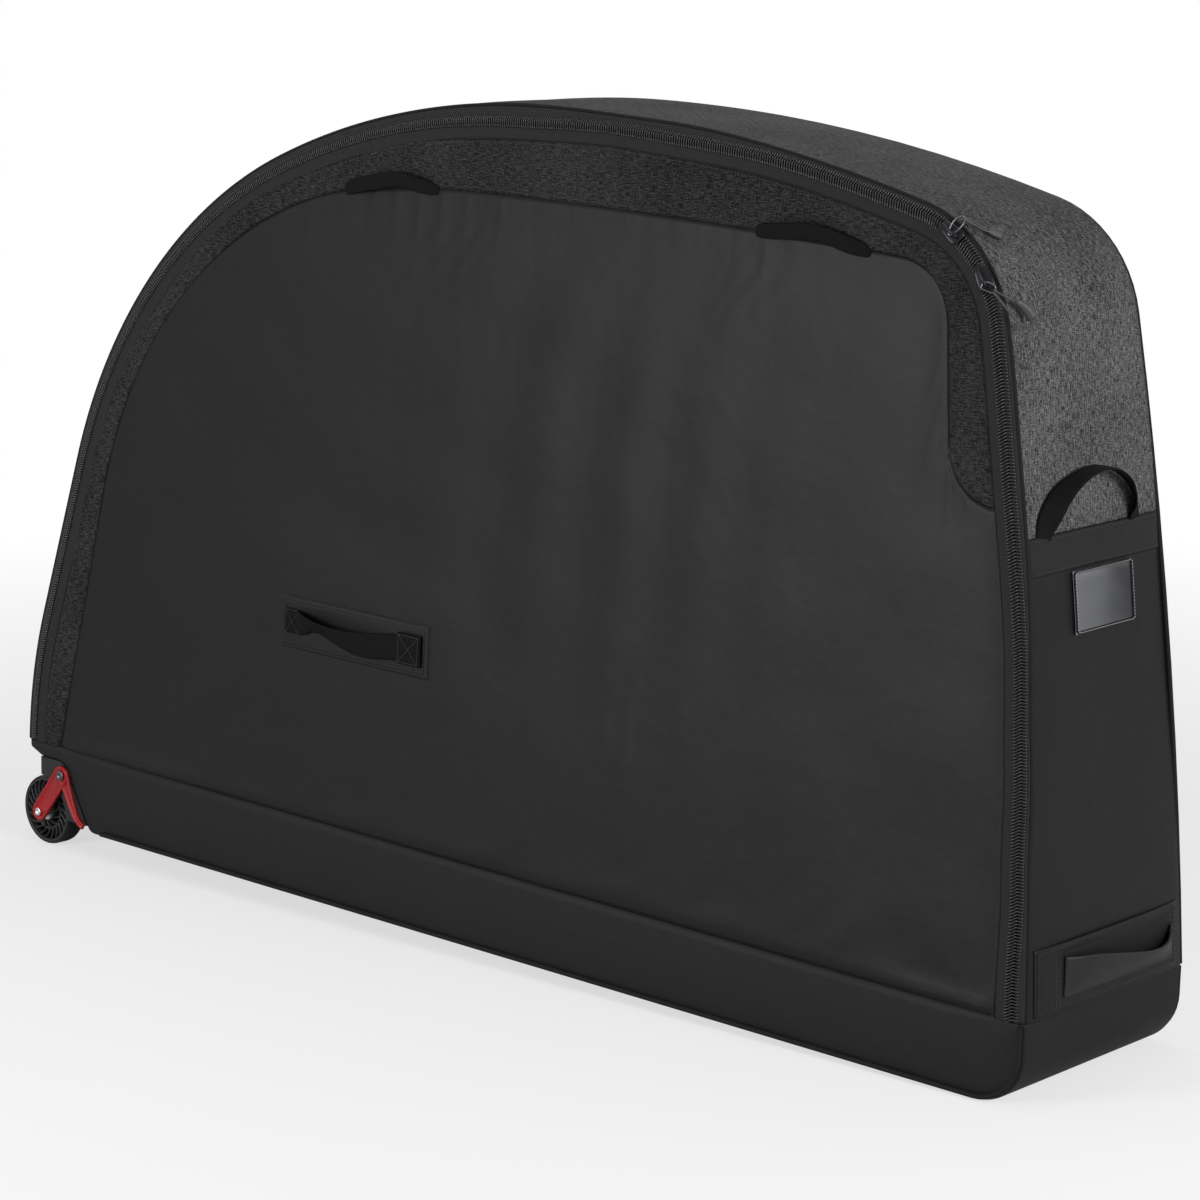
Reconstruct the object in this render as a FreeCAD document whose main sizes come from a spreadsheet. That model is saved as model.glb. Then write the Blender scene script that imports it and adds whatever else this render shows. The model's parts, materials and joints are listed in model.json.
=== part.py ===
import FreeCAD, Part
import math
import os
import Sketcher
from types import SimpleNamespace

from FreeCAD import Placement, Rotation, Vector

# A soft travel case for a bicycle: a stiff base with two wheels under its rear end, a padded rim over it,
# a padded panel on each side and a zip that lets the near panel swing down. Lengths in millimetres, angles in
# degrees. The case is drawn level: x runs from the rear end to the front end, y across, z up from the front
# underside. The standing placement then tips it forward until the wheels and the front foot share the floor.
SIZES = {
    # side outline
    "case_length": 1390.0,
    "seam_height": 81.0,
    "seam_width": 246.0,
    "top_width": 196.0,
    "apex_height": 843.0,
    "apex_setback": 751.0,
    "tuck_radius": 530.0,
    "rear_lean": 16.5,
    "shoulder_radius": 556.0,
    "crown_radius": 920.0,
    "corner_radius": 123.5,
    "corner_setback": 195.0,
    "corner_drop": 179.0,
    "front_radius": 4730.0,
    # base
    "base_width": 248.0,
    "base_drop": 10.0,
    "tray_wall": 4.0,
    "foot_radius": 52.0,
    "rear_lip": 9.0,
    "recess_chamfer": 20.0,
    "recess_height": 64.0,
    "recess_length": 60.0,
    "recess_slope_run": 44.0,
    "recess_top_radius": 14.0,
    "recess_toe_radius": 12.0,
    "board_thickness": 5.0,
    "board_margin": 14.0,
    "board_side_gap": 1.0,
    "cord_radius": 2.5,
    "cord_gap": 0.05,
    "boot_cord_inset": 4.0,
    "boot_cord_tail": 24.0,
    "boot_cord_drop": 2.0,
    # rim and its zip
    "rim_thickness": 10.0,
    "panel_fit": 0.3,
    "tape_thickness": 1.2,
    "tape_start": 5.5,
    "coil_width": 3.2,
    "coil_height": 2.0,
    "coil_gap": 0.4,
    "zip_inset": 13.0,
    "tape_lap": 10.0,
    # side panels
    "door_inset": 16.0,
    "door_lift": 1.0,
    "skin_thickness": 2.0,
    "foam_thickness": 12.0,
    "liner_thickness": 1.5,
    "foam_inset": 2.0,
    "field_rear_setback": 54.0,
    "field_lean": 12.5,
    "field_shoulder_radius": 470.0,
    "field_crown_radius": 1500.0,
    "field_apex_setback": 680.0,
    "field_apex_drop": 86.0,
    "field_corner_radius": 62.0,
    "field_corner_setback": 193.0,
    "field_corner_drop": 164.0,
    "field_run_height": 104.0,
    "field_run_out": 9.0,
    "field_cove_radius": 52.0,
    # webbing loops on the door and the front end
    "strap_thickness": 3.0,
    "strap_width": 14.0,
    "strap_stand_off": 1.6,
    "strap_lift": 0.3,
    "tab_width": 30.0,
    "tab_height": 22.0,
    "tab_thickness": 2.0,
    "door_loop_span": 130.0,
    "door_loop_rise": 22.0,
    "loop_drop": 12.0,
    "rear_loop_setback": 560.0,
    "front_loop_setback": 288.0,
    "end_loop_span": 152.0,
    "end_loop_rise": 52.0,
    "end_loop_offset": 10.0,
    # grab handle in the middle of the door
    "patch_setback": 446.0,
    "patch_length": 187.0,
    "patch_height": 56.0,
    "patch_level": 180.0,
    "patch_thickness": 1.6,
    "grab_width": 30.0,
    "grab_root": 28.0,
    "grab_ramp": 28.0,
    "grab_rise": 11.0,
    # front end
    "band_top": 508.0,
    "band_height": 34.0,
    "band_thickness": 2.5,
    "band_edge": 1.5,
    "card_height": 56.0,
    "card_width": 98.0,
    "card_offset": 6.0,
    "card_gap": 2.0,
    "card_thickness": 1.0,
    "window_thickness": 0.8,
    "backing_bottom": 85.0,
    "backing_height": 60.0,
    "backing_thickness": 2.0,
    "backing_width": 226.0,
    "grip_width": 184.0,
    "grip_height": 40.0,
    "grip_level": 8.0,
    "grip_depth": 14.0,
    "grip_wall": 4.0,
    # hoops inside the rim
    "hoop_radius": 4.0,
    "hoop_gap": 0.2,
    "hoop_depth": 24.0,
    "hoop_rear_tail": 2.5,
    "hoop_front_tail": 24.0,
    "socket_wall": 4.5,
    "socket_cup": 2.5,
    "socket_collar": 8.0,
    # wheels and their mountings
    "axle_setback": 19.0,
    "axle_height": -1.0,
    "wheel_radius": 40.0,
    "wheel_width": 24.0,
    "wheel_reach": 105.0,
    "tyre_depth": 7.0,
    "tyre_chamfer": 3.0,
    "hub_web": 10.0,
    "hub_rim": 5.0,
    "hub_boss_radius": 15.0,
    "hub_spokes": 6,
    "spoke_window": 38.0,
    "bearing_radius": 11.0,
    "bearing_width": 7.0,
    "axle_radius": 4.0,
    "running_gap": 0.05,
    "side_gap": 0.3,
    "bolt_head_radius": 7.0,
    "bolt_head_height": 5.0,
    "spacer_radius": 6.5,
    "well_gap": 4.0,
    "cheek_thickness": 6.0,
    "cheek_gap": 3.0,
    "cheek_boss_radius": 16.0,
    "bracket_thickness": 4.0,
    "bracket_pivot_setback": 59.0,
    "bracket_pivot_height": 49.0,
    "bracket_leg_setback": 96.0,
    "bracket_leg_height": 0.0,
    "bracket_arm_radius": 9.0,
    "bracket_leg_radius": 6.5,
    "housing_bolt_radius": 3.0,
    "housing_bolt_depth": 14.0,
    # rack
    "rail_length": 960.0,
    "rail_offset": 40.0,
    "rail_width": 50.0,
    "rail_height": 25.0,
    "rail_wall": 2.5,
    "rail_flange": 20.0,
    "screw_radius": 2.5,
    "screw_head_radius": 5.0,
    "screw_head_height": 3.0,
    "screw_pitch": 300.0,
    "shoe_length": 84.0,
    "shoe_wall": 8.0,
    "shoe_drop": 18.0,
    "column_length": 44.0,
    "column_width": 30.0,
    "fork_offset": 300.0,
    "fork_axle_height": 150.0,
    "fork_head_radius": 15.0,
    "fork_head_width": 110.0,
    "fork_bore_radius": 7.55,
    "stay_offset": -220.0,
    "stay_axle_height": 175.0,
    "stay_head_radius": 13.0,
    "stay_head_width": 142.0,
    "stay_bore_radius": 6.05,
    "stud_radius": 4.0,
    "stud_level": 18.5,
    "knob_radius": 12.0,
    "knob_depth": 20.0,
    "knob_scallop": 3.5,
    "knob_lobes": 6,
    # zip sliders and pulls
    "upper_slider_angle": 58.0,
    "lower_slider_angle": 33.0,
    "slider_length": 20.0,
    "slider_width": 12.0,
    "slider_thickness": 3.0,
    "slider_gap": 0.3,
    "bail_width": 5.0,
    "bail_height": 4.0,
    "pull_length": 42.0,
    "pull_width": 10.0,
    "pull_thickness": 2.5,
    "pull_lift": 0.4,
    "pull_clearance": 0.8,
    "upper_pull_angle": -15.0,
    "lower_pull_angle": -62.0,
    "cut_overrun": 20.0,
}
NEAR = -1
FAR = 1
WINDOW_SHARES = (0.15, 0.85)
HOUSING_TOE_SHARE = 0.9
PULL_ROUND_SHARE = 0.8
RIM_RUNS = ("tuck", "rear", "shoulder", "crown_rear", "crown_front", "corner", "front_upper", "front_lower")
RIM_PIECES = {"gusset_rear": ("tuck", "rear"), "gusset_shoulder": ("shoulder",),
              "gusset_top": ("crown_rear", "crown_front"), "gusset_corner": ("corner", "front_upper"),
              "front_end_panel": ("front_lower",)}

doc = FreeCAD.newDocument("travel_case")
sheet = doc.addObject("Spreadsheet::Sheet", "sizes")
for row, (alias, value) in enumerate(SIZES.items(), 1):
    sheet.set(f"A{row}", alias)
    sheet.set(f"B{row}", str(value))
    sheet.setAlias(f"B{row}", alias)
doc.recompute()
S = SimpleNamespace(**{alias: float(sheet.get(alias)) for alias in SIZES})
nodes = []


def polar(centre, radius, angle):
    """Point at an angle in radians on a circle of the drawing plane."""
    return centre + Vector(math.cos(angle), math.sin(angle), 0) * radius


def bearing_of(centre, point):
    """Angle of a point as seen from a centre, in radians."""
    return math.atan2(point.y - centre.y, point.x - centre.x)


class Arch:
    """A chain of tangent lines and clockwise arcs, from the rear seam over the top to the front seam."""

    def __init__(self, runs):
        self.runs = runs

    def inset(self, depth):
        """The same chain moved towards the inside of the case."""
        moved = []
        for run in self.runs:
            if run[0] == "line":
                along = (run[2] - run[1]).normalize()
                shift = Vector(along.y, -along.x, 0) * depth
                moved.append(("line", run[1] + shift, run[2] + shift))
            else:
                moved.append(("arc", run[1], run[2] - depth, run[3], run[4]))
        return Arch(moved)

    def part(self, first, last):
        return Arch(self.runs[first:last])

    def cut_at(self, level):
        """The same chain with its first and last arcs ended at a height."""
        first, last = self.runs[0], self.runs[-1]
        begin = math.pi - math.asin((level - first[1].y) / first[2])
        finish = math.asin((level - last[1].y) / last[2])
        return Arch([(*first[:3], begin, first[4])] + self.runs[1:-1] + [(*last[:4], finish)])

    def lowered(self, drop):
        """The same chain measured from a line that lies higher by a drop."""
        down = Vector(0, -drop, 0)
        moved = []
        for run in self.runs:
            if run[0] == "line":
                moved.append(("line", run[1] + down, run[2] + down))
            else:
                moved.append(("arc", run[1] + down, *run[2:]))
        return Arch(moved)

    def start(self):
        run = self.runs[0]
        return run[1] if run[0] == "line" else polar(run[1], run[2], run[3])

    def end(self):
        run = self.runs[-1]
        return run[2] if run[0] == "line" else polar(run[1], run[2], run[4])

    def curves(self):
        out = []
        for run in self.runs:
            if run[0] == "line":
                out.append(Part.LineSegment(run[1], run[2]))
            else:
                circle = Part.Circle(run[1], Vector(0, 0, 1), run[2])
                out.append(Part.ArcOfCircle(circle, run[4], run[3]))
        return out


def rise(foot, lean, radius, crown_radius, apex):
    """Runs from a foot point: a leaning line, a shoulder arc and a crown arc that is level at the apex."""
    along = Vector(math.sin(lean), math.cos(lean), 0)
    inward = Vector(math.cos(lean), -math.sin(lean), 0)
    crown = apex - Vector(0, crown_radius, 0)
    reach = foot + inward * radius - crown
    half = reach.dot(along)
    length = -half + math.sqrt(half * half - reach.dot(reach) + (crown_radius - radius) ** 2)
    shoulder = foot + inward * radius + along * length
    joint = bearing_of(crown, shoulder)
    return [("line", foot, foot + along * length),
            ("arc", shoulder, radius, math.pi - lean, joint),
            ("arc", crown, crown_radius, joint, math.pi / 2)]


def fall(apex, corner, radius):
    """Crown arc from the apex that runs into a corner arc: its centre, radius and last angle."""
    away = corner - apex
    crown_radius = (radius ** 2 - away.dot(away)) / (2 * (away.y + radius))
    crown = apex - Vector(0, crown_radius, 0)
    return crown, crown_radius, bearing_of(crown, corner)


def rim_outline():
    """Outer side outline of the rim, one run for each name in RIM_RUNS."""
    lean = math.radians(S.rear_lean)
    tuck = Vector(S.tuck_radius, S.seam_height, 0)
    apex = Vector(S.apex_setback, S.apex_height, 0)
    corner = Vector(S.case_length - S.corner_setback, S.apex_height - S.corner_drop, 0)
    toe = Vector(S.case_length, S.seam_height, 0)
    rear = rise(polar(tuck, S.tuck_radius, math.pi - lean), lean, S.shoulder_radius, S.crown_radius, apex)
    crown, crown_radius, top = fall(apex, corner, S.corner_radius)
    # the front arc passes through the toe and takes the corner arc inside it
    gap = corner - toe
    along = (S.front_radius ** 2 - (S.front_radius - S.corner_radius) ** 2 + gap.dot(gap)) / (2 * gap.Length)
    across = math.sqrt(S.front_radius ** 2 - along ** 2)
    unit = gap.normalize()
    front = toe + unit * along + Vector(-unit.y, unit.x, 0) * across
    turn = bearing_of(front, corner)
    level = math.asin((S.band_top - front.y) / S.front_radius)
    runs = [("arc", tuck, S.tuck_radius, math.pi, math.pi - lean)] + rear
    runs.append(("arc", crown, crown_radius, math.pi / 2, top))
    runs.append(("arc", corner, S.corner_radius, top, turn))
    runs.append(("arc", front, S.front_radius, turn, level))
    runs.append(("arc", front, S.front_radius, level, bearing_of(front, toe)))
    return Arch(runs)


rim = rim_outline()
CORNER = rim.runs[RIM_RUNS.index("corner")][1]
FRONT = rim.runs[RIM_RUNS.index("front_lower")][1]
SIDE_LEAN = math.atan2((S.seam_width - S.top_width) / 2, S.apex_height - S.seam_height)
AXLE = Vector(S.axle_setback, S.axle_height, 0)
RECESS_TOE = S.recess_length + S.recess_slope_run
FLOOR_SLOPE = math.atan2(S.base_drop, S.case_length - RECESS_TOE)
HALF_BASE = S.base_width / 2
PIVOT = Vector(S.bracket_pivot_setback, S.bracket_pivot_height, 0)
CHEEK_REACH = S.wheel_reach - S.wheel_width / 2 - S.cheek_gap
PANEL = rim.lowered(S.seam_height)
LOOP_LEVEL = S.apex_height - S.seam_height - S.field_apex_drop - S.loop_drop


def underside(x):
    """Height of the base's underside."""
    return -(S.case_length - x) * math.tan(FLOOR_SLOPE)


def standing():
    """Placement with the wheels and the front foot on the floor and the case's middle over the origin."""
    foot_x = S.case_length - S.foot_radius
    foot = Vector(foot_x, underside(foot_x) + S.foot_radius / math.cos(FLOOR_SLOPE), 0)
    gap = foot - AXLE
    tilt = bearing_of(AXLE, foot) - math.asin((S.foot_radius - S.wheel_radius) / gap.Length)
    lift = AXLE.x * math.sin(tilt) - AXLE.y * math.cos(tilt) + S.wheel_radius
    rear_end = S.axle_setback - S.wheel_radius
    front_end = S.case_length + S.grip_depth
    turn = Rotation(Vector(0, 1, 0), math.degrees(tilt))
    return Placement(Vector(-(rear_end + front_end) / 2, 0, lift), turn)


STANDING = standing()


def side_frame(side):
    """Frame of a side panel: its origin on the seam, x along the case, z up the panel, leaning inwards."""
    base = Vector(0, side * S.seam_width / 2, S.seam_height)
    return Placement(base, Rotation(Vector(1, 0, 0), side * math.degrees(SIDE_LEAN)))


def front_frame(height):
    """Frame on the front end at a height: x out of the surface, z up along it."""
    angle = math.asin((height - FRONT.y) / S.front_radius)
    point = polar(FRONT, S.front_radius, angle)
    return Placement(Vector(point.x, 0, point.y), Rotation(Vector(0, 1, 0), -math.degrees(angle)))


def floor_frame():
    """Frame on the inside floor of the base, x along the floor from its middle."""
    x = (RECESS_TOE + S.case_length - S.foot_radius) / 2
    height = underside(x) + S.tray_wall / math.cos(FLOOR_SLOPE)
    return Placement(Vector(x, 0, height), Rotation(Vector(0, 1, 0), -math.degrees(FLOOR_SLOPE)))


def door_frame(point, turn):
    """Frame on the door's face: x out of it, z along a direction turned up from the case's length."""
    outward = Rotation(Vector(0, 0, 1), -90)
    aim = Rotation(Vector(0, -1, 0), turn - 90).multiply(outward)
    return side_frame(NEAR).multiply(Placement(Vector(point.x, 0, point.y), aim))


def wheel_frame(side):
    """Frame on a wheel's axis in the case's middle plane, y pointing out through that wheel."""
    return Placement(Vector(AXLE.x, 0, AXLE.y), Rotation(Vector(0, 0, 1), 0 if side == FAR else 180))


def closed(points):
    """Straight closed profile."""
    return [Part.LineSegment(a, b) for a, b in zip(points, points[1:] + points[:1])]


def rectangle(low_x, low_y, high_x, high_y):
    return closed([Vector(low_x, low_y, 0), Vector(high_x, low_y, 0), Vector(high_x, high_y, 0),
                   Vector(low_x, high_y, 0)])


def ring(centre, radius):
    return [Part.Circle(centre, Vector(0, 0, 1), radius)]


def rounded_corner(before, corner, after, radius):
    """Ends and arc of a rounded corner."""
    back = (before - corner).normalize()
    ahead = (after - corner).normalize()
    half = back.getAngle(ahead) / 2
    reach = radius / math.tan(half)
    crown = corner + (back + ahead).normalize() * (radius / math.sin(half) - radius)
    start, end = corner + back * reach, corner + ahead * reach
    return start, end, [Part.Arc(start, crown, end)] if radius else []


def rounded(points, radii):
    """Closed profile with its corners rounded."""
    turns = [rounded_corner(points[i - 1], points[i], points[(i + 1) % len(points)], radii[i])
             for i in range(len(points))]
    lines = [Part.LineSegment(turns[i - 1][1], turns[i][0]) for i in range(len(points))]
    return lines + [arc for turn in turns for arc in turn[2]]


def inset_points(points, depths):
    """Corners of a counter-clockwise profile with each edge moved inwards by its own depth."""
    lines = []
    for i, point in enumerate(points):
        along = (points[(i + 1) % len(points)] - point).normalize()
        lines.append((point + Vector(-along.y, along.x, 0) * depths[i], along))
    out = []
    for i, (point, along) in enumerate(lines):
        before, course = lines[i - 1]
        cross = course.x * along.y - course.y * along.x
        gap = point - before
        out.append(before + course * ((gap.x * along.y - gap.y * along.x) / cross))
    return out


def stadium(first, second, radius):
    """Closed profile of a straight link with round ends."""
    along = (second - first).normalize()
    side = Vector(-along.y, along.x, 0) * radius
    nose = along * radius
    return [Part.LineSegment(first + side, second + side),
            Part.Arc(second + side, second + nose, second - side),
            Part.LineSegment(second - side, first - side),
            Part.Arc(first - side, first - nose, first + side)]


def node(thing, label):
    """Keep an object as a sub-part under its own name."""
    thing.Label = label
    nodes.append(thing)
    return thing


def body(name, frame=None):
    """A body set in the standing case, in a frame of the level case."""
    thing = doc.addObject("PartDesign::Body", name)
    thing.Placement = STANDING.multiply(frame or Placement())
    return thing


def sketch(owner, role, curves, offset=0):
    """Sketch on one of a body's own origin planes, moved along its normal."""
    plane = [f for f in owner.Origin.OriginFeatures if f.Role == role][0]
    thing = owner.newObject("Sketcher::SketchObject", owner.Name + "_outline")
    thing.AttachmentSupport = [(plane, "")]
    thing.MapMode = "FlatFace"
    thing.AttachmentOffset = Placement(Vector(0, 0, offset), Rotation())
    thing.addGeometry(curves, False)
    return thing


def pad(owner, role, curves, length, offset=0, both=False):
    """Pad of a profile, its length an expression on the sheet."""
    thing = owner.newObject("PartDesign::Pad", owner.Name + "_pad")
    thing.Profile = sketch(owner, role, curves, offset)
    thing.setExpression("Length", length)
    thing.SideType = "Symmetric" if both else "One side"
    return thing


def pad_out(owner, side, curves, inner, length, depth):
    """Pad of a side profile across the case, from an inner reach outwards on one side."""
    return pad(owner, "XZ_Plane", curves, length, inner if side == NEAR else -(inner + depth))


def pocket(owner, role, curves, length=None, offset=0):
    """Cut of a profile to both sides of its plane, right through or over a length."""
    doc.recompute()
    before = owner.Shape.Volume
    thing = owner.newObject("PartDesign::Pocket", owner.Name + "_cut")
    thing.Profile = sketch(owner, role, curves, offset)
    thing.SideType = "Symmetric"
    if length:
        thing.setExpression("Length", length)
    else:
        thing.Type = "ThroughAll"
    doc.recompute()
    if owner.Shape.Volume >= before:
        raise RuntimeError(f"a cut in {owner.Name} removed nothing")
    return thing


def revolve(owner, points):
    """Solid of revolution about the body's y axis, from points of radius and place along the axis."""
    profile = sketch(owner, "XY_Plane", closed([Vector(radius, along, 0) for radius, along in points]))
    thing = owner.newObject("PartDesign::Revolution", owner.Name + "_turned")
    thing.Profile = profile
    thing.ReferenceAxis = (profile, ["V_Axis"])
    return thing


def repeat(owner, feature, count):
    """Polar pattern of a feature about the body's y axis."""
    axis = [f for f in owner.Origin.OriginFeatures if f.Role == "Y_Axis"][0]
    thing = owner.newObject("PartDesign::PolarPattern", owner.Name + "_pattern")
    thing.Originals = [feature]
    thing.Axis = (axis, [""])
    thing.setExpression("Occurrences", count)
    owner.Tip = thing
    return thing


def pipe(owner, path, start, across, radius):
    """Round cord along a chain that starts straight up or down, at a distance across the case."""
    profile = sketch(owner, "XY_Plane", ring(Vector(start.x, across, 0), getattr(S, radius)), start.y)
    profile.addConstraint(Sketcher.Constraint("Radius", 0, getattr(S, radius)))
    profile.setExpression("Constraints[0]", f"sizes.{radius}")
    spine = sketch(owner, "XZ_Plane", path, -across)
    thing = owner.newObject("PartDesign::AdditivePipe", owner.Name + "_cord")
    thing.Profile = profile
    thing.Spine = (spine, [])
    return thing


def group(label, members):
    """Several separate solids under one name."""
    thing = doc.addObject("Part::Compound", label)
    thing.Links = members
    return node(thing, label)


def layer(name, side, curves, low, thickness):
    """A flat layer of a side panel: low is its inner face, measured out from the panel's plane."""
    thing = body(name, side_frame(side))
    pad_out(thing, side, curves, low, f"sizes.{thickness}", getattr(S, thickness))
    return thing


def half_width(height):
    """Half the rim's width at a height."""
    return S.seam_width / 2 - (height - S.seam_height) * math.tan(SIDE_LEAN)


# Base

def base_corners():
    """Corners of the base's side profile: rear lip, wheel recess, underside, front end."""
    return [Vector(0, S.seam_height, 0),
            Vector(0, S.seam_height - S.rear_lip, 0),
            Vector(S.recess_chamfer, S.recess_height, 0),
            Vector(S.recess_length, S.recess_height, 0),
            Vector(RECESS_TOE, underside(RECESS_TOE), 0),
            Vector(S.case_length, 0, 0),
            Vector(S.case_length, S.seam_height, 0)]


def make_tray():
    """Open tub: the profile across the base, hollowed to one wall thickness."""
    corners = base_corners()
    wall = S.tray_wall
    inner = inset_points(corners, [wall] * (len(corners) - 1) + [-S.cut_overrun])
    outer_radii = [0, 0, 0, S.recess_top_radius, S.recess_toe_radius, S.foot_radius, 0]
    inner_radii = [0, 0, 0, S.recess_top_radius + wall, S.recess_toe_radius - wall, S.foot_radius - wall, 0]
    tray = body("base_tray")
    pad(tray, "XZ_Plane", rounded(corners, outer_radii), "sizes.base_width", both=True)
    pocket(tray, "XZ_Plane", rounded(inner, inner_radii), "sizes.base_width - 2 * sizes.tray_wall")
    node(tray, "base_tray")


def make_boot_cords():
    """Cord on each side face of the base, along the front end and the underside."""
    inset = S.boot_cord_inset
    top = Vector(S.case_length - inset, S.seam_height - S.boot_cord_drop, 0)
    rear_x = RECESS_TOE + S.boot_cord_tail
    rear = Vector(rear_x, underside(rear_x) + inset, 0)
    corner = Vector(top.x, underside(top.x) + inset, 0)
    start, end, arc = rounded_corner(top, corner, rear, S.foot_radius - inset)
    path = [Part.LineSegment(top, start)] + arc + [Part.LineSegment(end, rear)]
    cords = []
    for side in (NEAR, FAR):
        cord = body("boot_cord")
        pipe(cord, path, top, side * (HALF_BASE + S.cord_radius + S.cord_gap), "cord_radius")
        cords.append(cord)
    group("boot_piping", cords)


def screw_places():
    """Places of the rail's screws on its flanges, in the rail's frame."""
    across = S.rail_width / 2 + S.rail_flange / 2
    return [Vector(x * S.screw_pitch, side * across, 0) for x in (-1, 0, 1) for side in (NEAR, FAR)]


def screw_holes(shift):
    """Round holes for the rail's screws, moved along the floor."""
    return [curve for place in screw_places() for curve in ring(place + shift, S.screw_radius)]


def rail_frame(lift):
    """Frame of the rail, lifted from the inside floor."""
    return floor_frame().multiply(Placement(Vector(S.rail_offset, 0, lift), Rotation()))


def make_board_and_rail():
    """Stiff board on the floor, a hat rail on it and the screws that hold them together."""
    half_length = (S.case_length - S.foot_radius - RECESS_TOE) / 2 - S.board_margin
    half_across = HALF_BASE - S.tray_wall - S.board_side_gap
    board = body("base_board", floor_frame())
    sheet_outline = rectangle(-half_length, -half_across, half_length, half_across)
    pad(board, "XY_Plane", sheet_outline, "sizes.board_thickness")
    pocket(board, "XY_Plane", screw_holes(Vector(S.rail_offset, 0, 0)))
    node(board, "base_board")
    half, wall, top = S.rail_width / 2, S.rail_wall, S.rail_height
    brim = half + S.rail_flange
    right = [Vector(brim, 0, 0), Vector(brim, wall, 0), Vector(half, wall, 0), Vector(half, top, 0)]
    hat = right + [Vector(-point.x, point.y, 0) for point in reversed(right)]
    rail = body("rack_rail", rail_frame(S.board_thickness))
    hollow = rectangle(wall - half, wall, half - wall, top - wall)
    pad(rail, "YZ_Plane", closed(hat) + hollow, "sizes.rail_length", both=True)
    pocket(rail, "XY_Plane", screw_holes(Vector()))
    node(rail, "rack_rail")
    upright = Rotation(Vector(1, 0, 0), 90)
    screws = []
    for place in screw_places():
        seat = rail_frame(S.board_thickness + wall).multiply(Placement(place, upright))
        screws.append(headed("rail_screw", seat, S.screw_radius, wall + S.board_thickness,
                             S.screw_head_radius, S.screw_head_height))
    group("rail_screws", screws)


def headed(name, seat, radius, depth, head_radius, head_height):
    """Plain screw or bolt: its head stands on the seat, its shank goes down the seat's y axis."""
    thing = body(name, seat)
    revolve(thing, [(0, -depth), (radius, -depth), (radius, 0), (head_radius, 0), (head_radius, head_height),
                    (0, head_height)])
    return thing


# Rim, zip and cords round it

def make_rim():
    """Padded rim in five lengths, trimmed to the two leaning side planes."""
    low, high = S.seam_height - S.cut_overrun, S.apex_height + S.cut_overrun
    wedges = []
    for side in (NEAR, FAR):
        wedges += closed([Vector(side * half_width(low), low, 0), Vector(side * half_width(high), high, 0),
                          Vector(side * S.seam_width, high, 0), Vector(side * S.seam_width, low, 0)])
    for label, names in RIM_PIECES.items():
        first = RIM_RUNS.index(names[0])
        last = first + len(names)
        piece = body(label)
        pad(piece, "XZ_Plane", band(rim, first, last, 0, S.rim_thickness, S.seam_height), "sizes.seam_width",
            both=True)
        pocket(piece, "YZ_Plane", wedges)
        node(piece, label)


def band(arch, first, last, outer, inner, level):
    """Profile of a stretch of the chain between two insets, cut off level at its feet."""
    out = arch.inset(outer).cut_at(level).part(first, last)
    back = arch.inset(inner).cut_at(level).part(first, last)
    ends = [Part.LineSegment(out.start(), back.start()), Part.LineSegment(out.end(), back.end())]
    return out.curves() + back.curves() + ends


def make_zip():
    """Two tapes and two coil rows in the near plane: one pair on the rim, one on the door."""
    half_gap = S.coil_gap / 2
    fixed = (S.zip_inset - half_gap - S.coil_width, S.zip_inset - half_gap)
    moving = (S.zip_inset + half_gap, S.zip_inset + half_gap + S.coil_width)
    last = len(PANEL.runs)
    for label, outer, inner, low, thickness in (
            ("zip_tape_rim", S.tape_start, fixed[1], 0, "tape_thickness"),
            ("zip_coil_rim", *fixed, S.tape_thickness, "coil_height"),
            ("zip_tape_door", moving[0], S.door_inset + S.tape_lap, 0, "tape_thickness"),
            ("zip_coil_door", *moving, S.tape_thickness, "coil_height")):
        node(layer(label, NEAR, band(PANEL, 0, last, outer, inner, S.door_lift), low, thickness), label)


def make_edge_cords():
    """Piping cord along both edges of the rim."""
    for side, label in ((NEAR, "edge_piping_near"), (FAR, "edge_piping_far")):
        chain = PANEL.inset(S.cord_radius).cut_at(S.door_lift)
        cord = body(label, side_frame(side))
        pipe(cord, chain.curves(), chain.start(), side * (S.cord_radius + S.cord_gap), "cord_radius")
        node(cord, label)


def make_hoops():
    """Bent rods under the rim's two edges and the four sockets that they stand in."""
    inset = S.rim_thickness + S.hoop_gap + S.hoop_radius
    chain = PANEL.inset(inset)
    start = chain.start() - Vector(0, S.hoop_rear_tail, 0)
    fall_angle = chain.runs[-1][4] - math.pi / 2
    front_tail = Vector(math.cos(fall_angle), math.sin(fall_angle), 0)
    end = chain.end() + front_tail * S.hoop_front_tail
    path = [Part.LineSegment(start, chain.start())] + chain.curves() + [Part.LineSegment(chain.end(), end)]
    sockets = []
    for side, label in ((NEAR, "hoop_rod_near"), (FAR, "hoop_rod_far")):
        across = -side * S.hoop_depth
        rod = body(label, side_frame(side))
        pipe(rod, path, start, across, "hoop_radius")
        node(rod, label)
        for foot, up, collar in ((start, Vector(0, 1, 0), S.hoop_rear_tail),
                                 (end, front_tail * -1, S.socket_collar)):
            turn = Rotation(Vector(0, 1, 0), Vector(up.x, 0, up.y))
            seat = side_frame(side).multiply(Placement(Vector(foot.x, across, foot.y), turn))
            sockets.append(socket(seat, collar))
    group("hoop_sockets", sockets)


def socket(seat, collar):
    """Blind round cup round the foot of a hoop."""
    cup = body("hoop_socket", seat)
    outer = S.hoop_radius + S.socket_wall
    revolve(cup, [(0, -S.socket_cup), (outer, -S.socket_cup), (outer, collar), (S.hoop_radius, collar),
                  (S.hoop_radius, 0), (0, 0)])
    return cup


# Side panels

def door_profile(inset):
    """Whole outline of a side panel at an inset, level along its foot."""
    chain = PANEL.inset(inset).cut_at(S.door_lift)
    return chain.curves() + [Part.LineSegment(chain.end(), chain.start())]


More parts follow.
